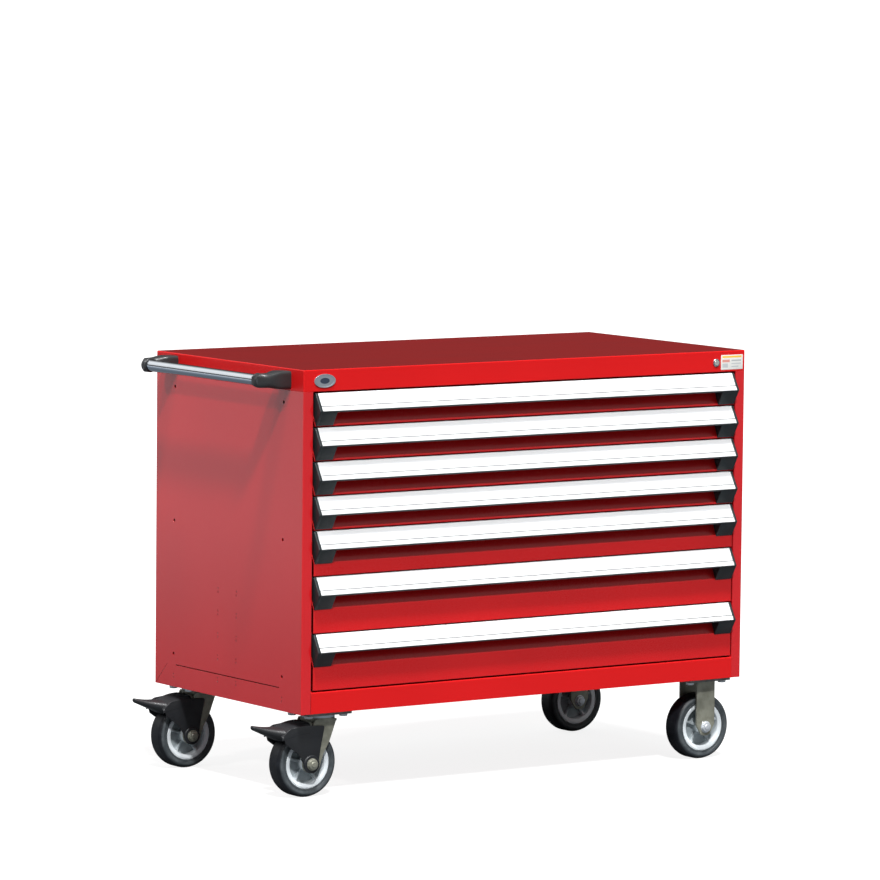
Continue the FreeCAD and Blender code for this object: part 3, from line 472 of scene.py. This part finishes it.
lock_nickel = plated("lock_nickel", (0.78, 0.77, 0.74, 1), (0.62, 0.61, 0.58, 1), 0.18)
collar_lo, collar_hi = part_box("lock_housing")
lock_x, lock_z = (collar_lo[0] + collar_hi[0]) / 2, (collar_lo[2] + collar_hi[2]) / 2
collar_r = (collar_hi[2] - collar_lo[2]) / 2
face_y, skirt_y = collar_lo[1], front_left.y
seat, end = skirt_y - face_y, collar_hi[1] - face_y
collar = rounded([(LOCK_BORE, 0), (collar_r - 0.0008, 0, 0.0012), (collar_r, seat),
                  (LOCK_SLEEVE, seat), (LOCK_SLEEVE, end), (LOCK_BORE, end)])
build("lock_collar", [turned(collar, (lock_x, face_y, lock_z), BACK)], chrome, "housing",
      ["lock_housing"])
finish_nodes(lock_nickel, "lock_cylinder")


# Badge: a small pressed aluminium oval with a rolled rim and a level field, plain but for a dark oval
# in the middle, stuck on the skirt above the drawers' left end.
badge_lo, badge_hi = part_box("badge_plate")
badge_x, badge_z = (badge_lo[0] + badge_hi[0]) / 2, (badge_lo[2] + badge_hi[2]) / 2
badge_a, badge_b = (badge_hi[0] - badge_lo[0]) / 2, (badge_hi[2] - badge_lo[2]) / 2
badge_t = badge_hi[1] - badge_lo[1]
# Section as (share of the radius, share of the height): back, wall, rolled rim, step and level field.
badge_section = rounded([(0.0, 0.0), (1.0, 0.0), (1.0, 1.0, 0.05), (0.90, 1.0, 0.04),
                         (0.84, 0.62, 0.04), (0.0, 0.62)], 6)
turns = np.linspace(0, 2 * math.pi, 96, endpoint=False)[:, None]
oval = np.stack(np.broadcast_arrays(badge_x + badge_a * badge_section[:, 0] * np.cos(turns),
                                    badge_hi[1] - badge_t * badge_section[:, 1],
                                    badge_z + badge_b * badge_section[:, 0] * np.sin(turns)), axis=-1)
points, faces = skin(oval, wrap_rows=True)

badge_silver, tree, shader = surface("badge_silver", metallic=0.85)
spots = own_place(tree)
brushed = noise(tree, stretched(tree, spots, (40.0, 40.0, 2600.0)), detail=3.0)
wear = use(tree, edge_wear, Radius=0.0006, Patch=160.0, Amount=0.5)
tone = blend_colours(tree, brushed, (0.46, 0.51, 0.57, 1), (0.64, 0.68, 0.73, 1))
centred = stretched(tree, spots, (1 / badge_a, 0, 1 / badge_b),
                    Location=(-badge_x / badge_a, 0, -badge_z / badge_b))
from_middle = put(tree, "VectorMath", {0: centred}, operation="LENGTH").outputs["Value"]
tone = blend_colours(tree, window(tree, from_middle, 0.46, 0.42), tone, (0.10, 0.13, 0.19, 1))
dress(tree, shader, blend_colours(tree, wear["Mask"], tone, (0.92, 0.93, 0.94, 1)),
      spread(tree, brushed, 0.38, 0.24))
skin_bump(tree, shader, brushed, 0.00002, wear["Normal"])
build("oval_badge", [(points, faces)], badge_silver, "housing", ["badge_plate"])


# Label: a printed vinyl sticker at the skirt's right end, white with plain bands and no words.
LABEL_X = (1.1496, 1.2128)        # from the housing's left side
LABEL_DROP = (0.0100, 0.0440)     # from the housing's top
LABEL_T = 0.0003
label_w, label_h = LABEL_X[1] - LABEL_X[0], LABEL_DROP[1] - LABEL_DROP[0]
label_at = (front_left.x + LABEL_X[0], 0, top_z - LABEL_DROP[1])
sheet = rounded([(0, 0, 0.002), (label_w, 0, 0.002), (label_w, label_h, 0.002), (0, label_h, 0.002)], 6)
film = moulded(sheet, (skirt_y - LABEL_T, skirt_y + LABEL_T), 0.0001, ACROSS, UP, BACK, label_at)

label_film, tree, shader = surface("label_film", specular=0.4)
spots = own_place(tree)
shares = stretched(tree, spots, (1 / label_w, 1, 1 / label_h),
                   Location=(-label_at[0] / label_w, 0, -label_at[2] / label_h))
across, height = put(tree, "SeparateXYZ", {0: shares}).outputs[0], upward(tree, shares)


def band(tree, value, start, end, soft=0.01):
    """1 between start and end, 0 outside."""
    return math_of(tree, "MULTIPLY", window(tree, value, start - soft, start + soft),
                   window(tree, value, end + soft, end - soft))


tone = blend_colours(tree, noise(tree, spots, 120.0, detail=4.0),
                     (0.74, 0.74, 0.70, 1), (0.82, 0.82, 0.79, 1))
for low, high, left, right, ink in ((0.80, 0.93, 0.06, 0.94, (0.85, 0.52, 0.06, 1)),
                                    (0.50, 0.68, 0.06, 0.40, (0.70, 0.30, 0.25, 1)),
                                    (0.14, 0.42, 0.06, 0.32, (0.55, 0.57, 0.58, 1)),
                                    (0.56, 0.66, 0.48, 0.92, (0.45, 0.47, 0.48, 1)),
                                    (0.36, 0.44, 0.48, 0.92, (0.55, 0.57, 0.58, 1)),
                                    (0.16, 0.24, 0.48, 0.80, (0.55, 0.57, 0.58, 1))):
    inside = math_of(tree, "MULTIPLY", band(tree, height, low, high), band(tree, across, left, right))
    tone = blend_colours(tree, inside, tone, ink)
dress(tree, shader, tone, spread(tree, noise(tree, spots, 60.0), 0.30, 0.45))
skin_bump(tree, shader, noise(tree, spots, 500.0), 0.00002)
build("skirt_label", [film], label_film, "housing", [])


# Push handle: a chromed steel tube held by two black nylon elbows, each screwed through the skirt from
# inside. An elbow's foot is broad and square, and it narrows outwards to a round socket for the tube.
tube_lo, tube_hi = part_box("push_handle_tube")
elbow_lo, elbow_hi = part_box("push_handle_brackets")
tube_x, tube_z = (tube_lo[0] + tube_hi[0]) / 2, (tube_lo[2] + tube_hi[2]) / 2
tube_r = (tube_hi[2] - tube_lo[2]) / 2
SOCKET_R = 0.016
FOOT_L = 0.0437
SOCKET_SHORT = 0.0092             # socket mouth set back from the foot's far edge
COLLAR = 0.002                    # round collar at the mouth
ELBOW_TAIL = 0.014                # length over which the elbow's end thins
finish_nodes(chrome, "push_handle_tube")


def elbow(start_y, way):
    """Loft along -X from the foot on the skirt to the rounded elbow end. The section in Y and Z at share
    s of the reach is a superellipse |y/a|^p + |z/b|^p = 1: half height b eases from the foot's to the
    socket's and p from 7 to 3. The bend's side goes round a quarter circle and b falls by up to 45 per
    cent at the end. way is +1 or -1."""
    reach = elbow_hi[0] - elbow_lo[0]
    bend = 2 * SOCKET_R
    straight, round_part = np.linspace(0, reach - bend, 22), np.linspace(0, math.pi / 2, 22)[1:]
    out = np.r_[straight, reach - bend * (1 - np.sin(round_part))]
    near = np.maximum(0, (out - (reach - bend)) / bend)
    corner = bend * (1 - np.sqrt(np.maximum(0, 1 - near ** 2)))
    ease = np.clip((out - 0.25 * reach) / (0.45 * reach), 0, 1)
    ease = ease * ease * (3 - 2 * ease)
    far_edge = FOOT_L - (SOCKET_SHORT + COLLAR) * ease
    half_foot = (elbow_hi[2] - elbow_lo[2]) / 2
    tall = half_foot + (SOCKET_R - half_foot) * ease
    tail = np.maximum(0, (out - (reach - ELBOW_TAIL)) / ELBOW_TAIL)
    tall = tall * (1 - 0.45 * tail ** 2.5)
    squareness = 7 - 4 * ease
    v = np.linspace(0, 2 * math.pi, 56, endpoint=False)[None, :]
    y_mid, y_half = (corner + far_edge) / 2, (far_edge - corner) / 2
    shape_y = np.sign(np.cos(v)) * np.abs(np.cos(v)) ** (2 / squareness[:, None])
    shape_z = np.sign(np.sin(v)) * np.abs(np.sin(v)) ** (2 / squareness[:, None])
    x = elbow_hi[0] - out[:, None] + 0 * v
    y = start_y + way * (y_mid[:, None] + y_half[:, None] * shape_y)
    z = tube_z + tall[:, None] * shape_z
    points, faces = skin(np.stack([x, y, z], axis=-1), wrap_columns=True)
    count = v.shape[1]
    return points, faces + [tuple(range(count)), tuple(range(len(points) - count, len(points)))]


elbow_black = moulded_plastic("elbow_black", (0.020, 0.021, 0.022, 1), (0.09, 0.09, 0.10, 1), 0.36,
                              grain=1800.0)
collar_run = FOOT_L - SOCKET_SHORT - SOCKET_R
socket = rounded([(tube_r, 0), (SOCKET_R, 0, 0.003), (SOCKET_R * 1.01, collar_run, 0.0022),
                  (tube_r, collar_run)])
sockets = [turned(socket, (tube_x, foot_y + way * SOCKET_R, tube_z), (0, way, 0))
           for foot_y, way in ((elbow_lo[1], 1), (elbow_hi[1], -1))]
build("push_elbows", [elbow(elbow_lo[1], 1), elbow(elbow_hi[1], -1)] + sockets, elbow_black, "housing",
      ["push_handle_brackets"])


# Caster plates and bolts: a dull plated steel plate under each corner of the floor pan, with a bright
# race under the swivel ones, held by four zinc plated hex bolts and by nuts on the pan above.
INSET_X, INSET_Y = 0.0813, 0.05715              # caster plate centre from the housing's side and front
BOLTS_X, BOLTS_Y = 0.0921, 0.0667
PLATE_T, PAN_T = 0.00635, 0.003
BOLT_R, BOLT_HEAD = 0.0048, 0.0064
HEX_FLAT = 1.69                   # half the width across flats, in shaft radii
plate_grey = plated("plate_grey", (0.24, 0.25, 0.24, 1), (0.15, 0.16, 0.15, 1), 0.42,
                    low_part=(base_z - PLATE_T, (0.66, 0.74, 0.82, 1)))
finish_nodes(plate_grey, "caster_plates")


def hex_nut(flat, height, foot, axis, steps=72):
    """Hexagon with turned-off corners, standing on foot along axis. Its radius at turn u is the smaller
    of the hexagon's, flat / cos(u from the nearest flat), and a cone's that meets the flats at the top."""
    u = np.linspace(0, 2 * math.pi, steps, endpoint=False)
    hexagon = flat / np.cos((u + math.pi / 6) % (math.pi / 3) - math.pi / 6)
    level = height * np.array([0, 0, 0.75, 0.82, 0.88, 0.94, 1.0, 1.0])
    cone = 0.98 * flat + (height - level) * math.tan(math.radians(60))
    radius = np.minimum(hexagon[:, None], cone[None, :])
    radius[:, 0] = radius[:, -1] = 0
    axis = np.array(axis, float)
    side = np.cross(axis, (0.31, 0.17, 0.93))
    side /= np.linalg.norm(side)
    spoke = np.cos(u)[:, None] * side + np.sin(u)[:, None] * np.cross(axis, side)
    points = np.array(foot, float) + level[None, :, None] * axis + radius[..., None] * spoke[:, None, :]
    return skin(points, wrap_rows=True)


def washer(bore, rim, thick, foot, axis):
    """Flat ring with a rolled rim."""
    return turned(rounded([(bore, 0), (rim, 0, thick * 0.3), (rim, thick, thick * 0.3), (bore, thick)], 4),
                  foot, axis, steps=48)


def shaft(radius, length, foot, axis, chamfer=0.0008):
    """Round bar with chamfered ends."""
    return turned([(0, 0), (radius - chamfer, 0), (radius, chamfer), (radius, length - chamfer),
                   (radius - chamfer, length), (0, length)], foot, axis, steps=40, closed=False)


bolt_zinc = plated("bolt_zinc", (0.80, 0.84, 0.88, 1), (0.58, 0.62, 0.66, 1), 0.24, patch=200.0)
DOWN = (0, 0, -1)
plate_centres = {"front_left": (INSET_X, INSET_Y), "rear_left": (INSET_X, housing_d - INSET_Y),
                 "front_right": (housing_w - INSET_X, INSET_Y),
                 "rear_right": (housing_w - INSET_X, housing_d - INSET_Y)}
parts = []
for x, y in plate_centres.values():
    for i in (-0.5, 0.5):
        for j in (-0.5, 0.5):
            place = front_left + Vector((x + i * BOLTS_X, y + j * BOLTS_Y, base_z))
            under, over = place - Vector((0, 0, PLATE_T)), place + Vector((0, 0, PAN_T))
            parts += [hex_nut(BOLT_R * HEX_FLAT, BOLT_HEAD, under, DOWN),
                      hex_nut(BOLT_R * HEX_FLAT, BOLT_HEAD, over, UP),
                      shaft(BOLT_R, PLATE_T + PAN_T, under, UP)]
SCREW_R, SCREW_L, SCREW_HEAD, SKIRT_AND_STEP = 0.003, 0.0145, 0.0035, 0.003
screw_head = rounded([(0, 0), (2 * SCREW_R, 0), (2 * SCREW_R, SCREW_HEAD, 0.002), (0, SCREW_HEAD)], 6)
for start_y, way in ((elbow_lo[1], 1), (elbow_hi[1], -1)):
    for share in (0.28, 0.72):
        place = Vector((front_left.x + SKIRT_AND_STEP, start_y + way * FOOT_L * share, tube_z))
        parts.append(turned(screw_head, place, ACROSS, steps=32, closed=False))
        parts.append(shaft(SCREW_R, SCREW_L, place, (-1, 0, 0)))
finish_nodes(bolt_zinc, "lock_bar")
build("housing_fasteners", parts, bolt_zinc, "housing", ["housing_bolts"])


# Forks: heavy bent strap, plated an olive grey. The rigid ones are welded to their plates; the swivel
# ones hang from a ball race by a kingpin with a locking nut.
fork_olive = plated("fork_olive", (0.37, 0.37, 0.30, 1), (0.25, 0.25, 0.20, 1), 0.40, patch=60.0,
                    wear_amount=0.7)
finish_nodes(fork_olive, "rigid_forks", "front_left_fork", "rear_left_fork")


# Wheels: a cast aluminium centre, machined bright on its rim faces, with five ribs each side of a
# web. A grey rubber body with a harder black tread is moulded round it.
mm = 0.001
RIM_R, RIM_IN, RIM_SETBACK = 57 * mm, 46 * mm, 3.4 * mm
HUB_R, WEB_HALF, RIBS, RIB_HALF_T = 0.017, 0.0045, 5, 3 * mm
AXLE_R = 0.00635
TREAD_T, HUB_PROUD = 0.0062, 0.0016             # hard tread's depth; hub ends proud of the tyre

rim_bright, tree, shader = surface("rim_bright", metallic=0.05)
spots = own_place(tree)
along_profile = put(tree, "Attribute", attribute_name="mark").outputs["Fac"]
lines = put(tree, "TexNoise", {"W": math_of(tree, "MULTIPLY", along_profile, 9000.0), "Scale": 1.0,
                               "Detail": 2.0}, noise_dimensions="1D").outputs["Fac"]
cast = noise(tree, spots, 700.0, detail=3.0)
clouds = window(tree, noise(tree, spots, 40.0, detail=4.0), 0.3, 0.7)
wear = use(tree, edge_wear, Radius=0.0008, Patch=120.0, Amount=0.4)
bright = put(tree, "Attribute", attribute_name="machined").outputs["Fac"]
rough_cast = blend_colours(tree, clouds, (0.30, 0.34, 0.36, 1), (0.42, 0.47, 0.49, 1))
clean_cut = blend_colours(tree, lines, (0.84, 0.90, 0.93, 1), (0.92, 0.97, 1.0, 1))
tone = blend_colours(tree, bright, rough_cast, clean_cut)
dull = put(tree, "Mix", {0: bright, 2: spread(tree, cast, 0.55, 0.42), 3: spread(tree, lines, 0.30, 0.42)},
           data_type="FLOAT").outputs[0]
dress(tree, shader, blend_colours(tree, wear["Mask"], tone, (0.9, 0.92, 0.93, 1)), dull)
skin_bump(tree, shader, put(tree, "Mix", {0: bright, 2: cast, 3: lines}, data_type="FLOAT").outputs[0],
          0.00006, wear["Normal"])

rubber, tree, shader = surface("wheel_rubber", specular=0.35)
spots = own_place(tree)
tread = put(tree, "Attribute", attribute_name="tread").outputs["Fac"]
scuffs = window(tree, noise(tree, spots, 55.0, detail=6.0, rough=0.65), 0.35, 0.7)
fine = noise(tree, spots, 1500.0)
grey = blend_colours(tree, scuffs, (0.052, 0.062, 0.069, 1), (0.085, 0.097, 0.104, 1))
black = blend_colours(tree, scuffs, (0.004, 0.005, 0.008, 1), (0.011, 0.013, 0.018, 1))
dress(tree, shader, blend_colours(tree, tread, grey, black),
      spread(tree, math_of(tree, "MULTIPLY", scuffs, fine), 0.46, 0.66))
skin_bump(tree, shader, fine, 0.00005)


def mirrored(corners):
    """Outline through the corners and then back through their mirror images across zero."""
    return corners + [(c[0], -c[1]) + c[2:] for c in corners[::-1]]


def add_mask(piece, name, value):
    """Keep a 0 to 1 number at each point of a piece's mesh."""
    piece.data.attributes.new(name, "FLOAT", "POINT").data.foreach_set("value", value.astype(np.float32))


def from_axle(piece, centre):
    """Each point's distance from the axle line, and from the wheel's middle plane."""
    flat = np.empty(3 * len(piece.data.vertices))
    piece.data.vertices.foreach_get("co", flat)
    x, y, z = (flat.reshape(-1, 3) - np.array(centre)).T
    return np.hypot(x, z), np.abs(y)


for name in plate_centres:
    tyre_lo, tyre_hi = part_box(f"{name}_tyre")
    hub_at = [(a + b) / 2 for a, b in zip(tyre_lo, tyre_hi)]
    wheel_r, half = (tyre_hi[2] - tyre_lo[2]) / 2, (tyre_hi[1] - tyre_lo[1]) / 2
    near = [(RIM_R, 2 * mm), (RIM_R + 3.2 * mm, 1.4 * mm, 0.6 * mm), (RIM_R + 4.0 * mm, 2.3 * mm, 0.3 * mm),
            (RIM_R + 4.8 * mm, 1.2 * mm, 0.6 * mm), (wheel_r - 8 * mm, 0, 5 * mm),
            (wheel_r - 2.2 * mm, 5 * mm, 5 * mm), (wheel_r, 12 * mm, 8 * mm)]
    section = mirrored([(c[0], c[1] - half) + c[2:] for c in near])
    tyre = build(f"{name}_rubber", [turned(rounded(section), hub_at, BACK, steps=112)], rubber,
                 f"{name}_wheel", [f"{name}_tyre"])
    reach, aside = from_axle(tyre, hub_at)
    add_mask(tyre, "tread", np.clip((reach - (wheel_r - TREAD_T)) / 0.0008, 0, 1))

    rim_half, hub_half = half - RIM_SETBACK, half + HUB_PROUD
    ring = [(RIM_R, 0.0), (RIM_R, rim_half - 1.2 * mm), (RIM_R - 1.2 * mm, rim_half - 0.2 * mm, 0.5 * mm),
            (RIM_R - 2.2 * mm, rim_half - 0.8 * mm, 0.3 * mm), (RIM_R - 3.0 * mm, rim_half, 0.5 * mm),
            (RIM_IN, rim_half - 1.2 * mm, 1.5 * mm), (RIM_IN - 2 * mm, WEB_HALF)]
    disc = [(AXLE_R, hub_half), (HUB_R - 1.5 * mm, hub_half, 1 * mm),
            (HUB_R + 1.5 * mm, WEB_HALF + 1 * mm, 4 * mm), (RIM_IN - 3 * mm, WEB_HALF, 3 * mm),
            (RIM_IN, WEB_HALF + 6 * mm)]
    rib = rounded([(HUB_R - 3 * mm, -18 * mm), (HUB_R + 13 * mm, -11 * mm, 14 * mm),
                   (RIM_IN + 1 * mm, -17 * mm), (RIM_IN + 1 * mm, 17 * mm),
                   (HUB_R + 13 * mm, 11 * mm, 14 * mm), (HUB_R - 3 * mm, 18 * mm)])
    parts = [turned(rounded(mirrored(corners)), hub_at, BACK, steps=96) for corners in (ring, disc)]
    for i in range(RIBS):
        angle = 2 * math.pi * (i / RIBS + 0.05)
        spoke, along = (math.cos(angle), 0, math.sin(angle)), (-math.sin(angle), 0, math.cos(angle))
        parts.append(moulded(rib, (-RIB_HALF_T, RIB_HALF_T), 1.2 * mm, spoke, BACK, along, hub_at))
    core = build(f"{name}_centre", parts, rim_bright, f"{name}_wheel",
                 [f"{name}_wheel_core"])
    reach, aside = from_axle(core, hub_at)
    face = (aside > rim_half * 0.45) & (reach > RIM_IN - 2.2 * mm)
    boss = (reach < HUB_R) & (aside > hub_half - 1 * mm)
    add_mask(core, "machined", np.maximum(face, boss * 1.0))


# Axle bolts: one through each fork and wheel, a hex head at the back and a locking nut at the front,
# with a washer under each and a spacer washer each side of the hub. The swivel ones match their forks.
LEG_IN, FORK_T, RUN_GAP = 0.0295, 0.005, 0.0004
WASHER_R, HEAD_H, WASHER_T = 0.011, 0.008, 0.0016
HEAD_THINNER = 0.0016             # the head at the front is this much lower than the nut at the back
axles = [((name,), f"{name}_axle", f"{name}_swivel", f"{name}_axle_bolt", fork_olive)
         for name in ("front_left", "rear_left")]
axles.append((("front_right", "rear_right"), "rigid_axles", "housing", "rigid_axle_bolts", bolt_zinc))
for names, node, body, title, finish in axles:
    node_lo, node_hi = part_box(node)
    parts = []
    for name in names:
        tyre_lo, tyre_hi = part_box(f"{name}_tyre")
        x, y, z = [(a + b) / 2 for a, b in zip(tyre_lo, tyre_hi)]
        half = (tyre_hi[1] - tyre_lo[1]) / 2
        reach = (node_hi[1] - node_lo[1]) / 2 if len(names) == 1 else LEG_IN + FORK_T + HEAD_H
        seat = reach - HEAD_H
        hub = half + HUB_PROUD + RUN_GAP
        parts.append(shaft(AXLE_R, 2 * reach, (x, y - reach, z), BACK))
        for way in (-1, 1):
            out = (0, way, 0)
            parts += [washer(AXLE_R, WASHER_R, LEG_IN - hub, (x, y + way * hub, z), out),
                      washer(AXLE_R, WASHER_R * 1.25, WASHER_T, (x, y + way * seat, z), out),
                      hex_nut(AXLE_R * HEX_FLAT, HEAD_H - WASHER_T - (HEAD_THINNER if way < 0 else 0),
                              (x, y + way * (seat + WASHER_T), z), out)]
    build(title, parts, finish, body, [node])


# Brake pedals: glass-filled nylon hoods over the swivel wheels. Two cheeks reach down to a round boss
# on the axle, a crowned hood joins them, and a toe horn sticks out behind.
pedal_black = moulded_plastic("pedal_black", (0.009, 0.010, 0.012, 1), (0.045, 0.048, 0.052, 1), 0.50,
                              grain=1500.0)
CHEEK_IN, CHEEK_T, BOSS_R, BOSS_T = LEG_IN + FORK_T + 0.001, 0.003, 0.020, 0.006


def hood(x, y, top):
    """Crowned cover: its crown line rises from toe to crown on a quarter sine, and each cross section is
    a superellipse arch |y/a|^5 + |z/b|^5 = 1 between the cheeks. Two skins, a wall apart, join at their
    rims."""
    s = np.linspace(0, 1, 36)
    along = x - 0.076 + 0.074 * s
    crown = top - 0.0095 + 0.0265 * np.sin(s ** 0.85 * math.pi / 2)
    foot = top - 0.019 + 0.012 * np.sin(s * math.pi / 2)
    v = np.linspace(0, math.pi, 41)[None, :]
    half = CHEEK_IN + CHEEK_T
    shells = []
    for inset in (0, CHEEK_T):
        arch_y = np.sign(np.cos(v)) * np.abs(np.cos(v)) ** (2 / 5)
        arch_z = np.abs(np.sin(v)) ** (2 / 5)
        px = along[:, None] + 0 * v
        py = y + (half - inset) * arch_y + 0 * along[:, None]
        pz = foot[:, None] + (crown - foot - inset)[:, None] * arch_z
        shells.append(np.stack(np.broadcast_arrays(px, py, pz), axis=-1))
    ring = np.concatenate([shells[0], shells[1][:, ::-1]], axis=1)
    points, faces = skin(ring, wrap_columns=True)
    rows, count = ring.shape[0], ring.shape[1]
    half_count = count // 2
    for row in (0, rows - 1):
        first = row * count
        faces += [(first + i, first + i + 1, first + count - 2 - i, first + count - 1 - i)
                  for i in range(half_count - 1)]
    return points, faces


for name in ("front_left", "rear_left"):
    tyre_lo, tyre_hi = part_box(f"{name}_tyre")
    x, y, z = [(a + b) / 2 for a, b in zip(tyre_lo, tyre_hi)]
    top = tyre_hi[2]
    cheek = rounded([(x - 74 * mm, top - 8 * mm, 6 * mm), (x - 57 * mm, top + 6.5 * mm, 20 * mm),
                     (x - 17 * mm, top + 10.4 * mm, 30 * mm), (x + 35 * mm, top + 7.6 * mm, 4 * mm),
                     (x + 24 * mm, z + 33 * mm), (x + 0.95 * BOSS_R, z), (x - 0.95 * BOSS_R, z),
                     (x - 33 * mm, z + 24 * mm, 10 * mm), (x - 67 * mm, z + 48 * mm, 3 * mm)])
    parts = [hood(x, y, top)]
    for way in (-1, 1):
        inner, outer = sorted((way * CHEEK_IN, way * (CHEEK_IN + CHEEK_T)))
        parts.append(moulded(cheek, (y + inner, y + outer), 1 * mm, ACROSS, UP, BACK))
        boss = rounded([(AXLE_R, 0), (BOSS_R, 0, 0.8 * mm), (BOSS_R, BOSS_T, 1.5 * mm),
                        (AXLE_R, BOSS_T)], 5)
        parts.append(turned(boss, (x, y + way * CHEEK_IN, z), (0, way, 0), steps=64))
    # Toe horn: it narrows as (1 - s)^1.4 along its length, its top sweeps up with s squared, and its
    # section is a superellipse |y/a|^2.6 + |z/b|^2.6 = 1 that shuts in a quarter ellipse at the tip.
    s = np.linspace(0, 1, 48)
    line_x = x - (66 + 68.5 * s) * mm
    high, low = top + (7.5 + 8 * s ** 2) * mm, top + (-24 + 30 * s) * mm
    shut = np.sqrt(np.clip(1 - ((s - 0.93) / 0.0705).clip(0) ** 2, 0.0005, 1))
    line_z, thick = (high + low) / 2, (high - low) / 2 * shut
    wide = (7 * mm + (CHEEK_IN - 5 * mm) * (1 - s) ** 1.4) * shut
    v = np.linspace(0, 2 * math.pi, 32, endpoint=False)[None, :]
    horn = np.stack(np.broadcast_arrays(
        line_x[:, None] + 0 * v,
        y + wide[:, None] * np.sign(np.cos(v)) * np.abs(np.cos(v)) ** (1 / 1.3),
        line_z[:, None] + thick[:, None] * np.sign(np.sin(v)) * np.abs(np.sin(v)) ** (1 / 1.3)), axis=-1)
    points, faces = skin(horn, wrap_columns=True)
    count = v.shape[1]
    parts.append((points, faces + [tuple(range(count)), tuple(range(len(points) - count, len(points)))]))
    build(f"{name}_brake_pedal", parts, pedal_black, f"{name}_brake", [f"{name}_pedal"])



# Studio: a plain pale floor that runs out of sight, two soft steep lights from the front, a weaker one
# from the left and a broad low fill, a ceiling bright overhead and dim at the horizon with a pale card
# behind the left side, and the camera a long way off at bench height.
FLOOR_HALF = 300.0
floor_mesh = bpy.data.meshes.new("studio_floor")
steps = np.linspace(-1, 1, 9) * FLOOR_HALF
grid = np.stack(np.meshgrid(steps, steps, [0.0]), axis=-1)
points, faces = skin(grid[:, :, 0])
floor_mesh.from_pydata(points.tolist(), [], [face[::-1] for face in faces])
floor_white, tree, shader = surface("floor_white", specular=0.1)
reach = alignment(tree, own_place(tree), (-0.55, 0.83, 0))
around = blend_colours(tree, window(tree, reach, 1.0, 6.0), (0.11, 0.12, 0.13, 1), (0.30, 0.31, 0.33, 1))
seen = put(tree, "LightPath").outputs["Is Camera Ray"]
tree.links.new(blend_colours(tree, seen, around, (0.25, 0.25, 0.25, 1)), shader.inputs["Base Color"])
shader.inputs["Roughness"].default_value = 0.9
shader.inputs["Emission Color"].default_value = (1, 1, 1, 1)
tree.links.new(math_of(tree, "MULTIPLY", seen, 0.86), shader.inputs["Emission Strength"])
floor_mesh.materials.append(floor_white)
floor = bpy.data.objects.new("studio_floor", floor_mesh)
bpy.context.scene.collection.objects.link(floor)

world = bpy.data.worlds.new("studio")
world.use_nodes = True
bpy.context.scene.world = world
tree = world.node_tree
heading = put(tree, "TexCoord").outputs["Generated"]
height = upward(tree, heading)
ceiling = spread(tree, window(tree, height, 0.30, 0.90), 0.04, 0.45)
toward = alignment(tree, heading, (-0.42, 0.91, 0))
card = math_of(tree, "MULTIPLY", window(tree, toward, 0.60, 0.85), window(tree, height, 0.12, 0.26))
tree.links.new(math_of(tree, "ADD", ceiling, math_of(tree, "MULTIPLY", card, 0.9)),
               tree.nodes["Background"].inputs["Strength"])
tree.nodes["Background"].inputs["Color"].default_value = (1, 1, 1, 1)


def sun(name, travel, strength, spread_angle):
    """Distant soft light whose rays travel along the given direction."""
    lamp = bpy.data.lights.new(name, "SUN")
    lamp.energy, lamp.angle = strength, math.radians(spread_angle)
    lamp_object = bpy.data.objects.new(name, lamp)
    lamp_object.rotation_euler = Vector(travel).to_track_quat("-Z", "Y").to_euler()
    bpy.context.scene.collection.objects.link(lamp_object)


sun("side_light", (1.30, 0.35, -1.0), 0.75, 3)
sun("main_light", (0.30, 0.70, -1.0), 2.8, 4)
sun("top_light", (0.10, 0.30, -1.0), 3.2, 6)
sun("fill_light", (-0.30, 0.90, -0.35), 0.25, 60)

CAMERA_FROM_CORNER = Vector((-6.6923, -10.1706, 1.9696))
CAMERA_TURN, CAMERA_RISE, CAMERA_ROLL = (math.radians(a) for a in (-34.753, 5.478, 0.597))
level = math.cos(CAMERA_RISE)
back = Vector((math.sin(CAMERA_TURN) * level, -math.cos(CAMERA_TURN) * level, math.sin(CAMERA_RISE)))
across = Vector((math.cos(CAMERA_TURN), math.sin(CAMERA_TURN), 0))
rise = back.cross(across)
rolled = (math.cos(CAMERA_ROLL) * across + math.sin(CAMERA_ROLL) * rise,
          math.cos(CAMERA_ROLL) * rise - math.sin(CAMERA_ROLL) * across, back)
lens = bpy.data.cameras.new("camera")
lens.lens, lens.sensor_width, lens.clip_end = 228.5, 36.0, 1000.0
camera = bpy.data.objects.new("camera", lens)
camera.matrix_world = (Matrix.Translation(front_left + CAMERA_FROM_CORNER)
                       @ Matrix(rolled).transposed().to_4x4())
bpy.context.scene.collection.objects.link(camera)
bpy.context.scene.camera = camera
bpy.context.scene.view_settings.view_transform = "Standard"
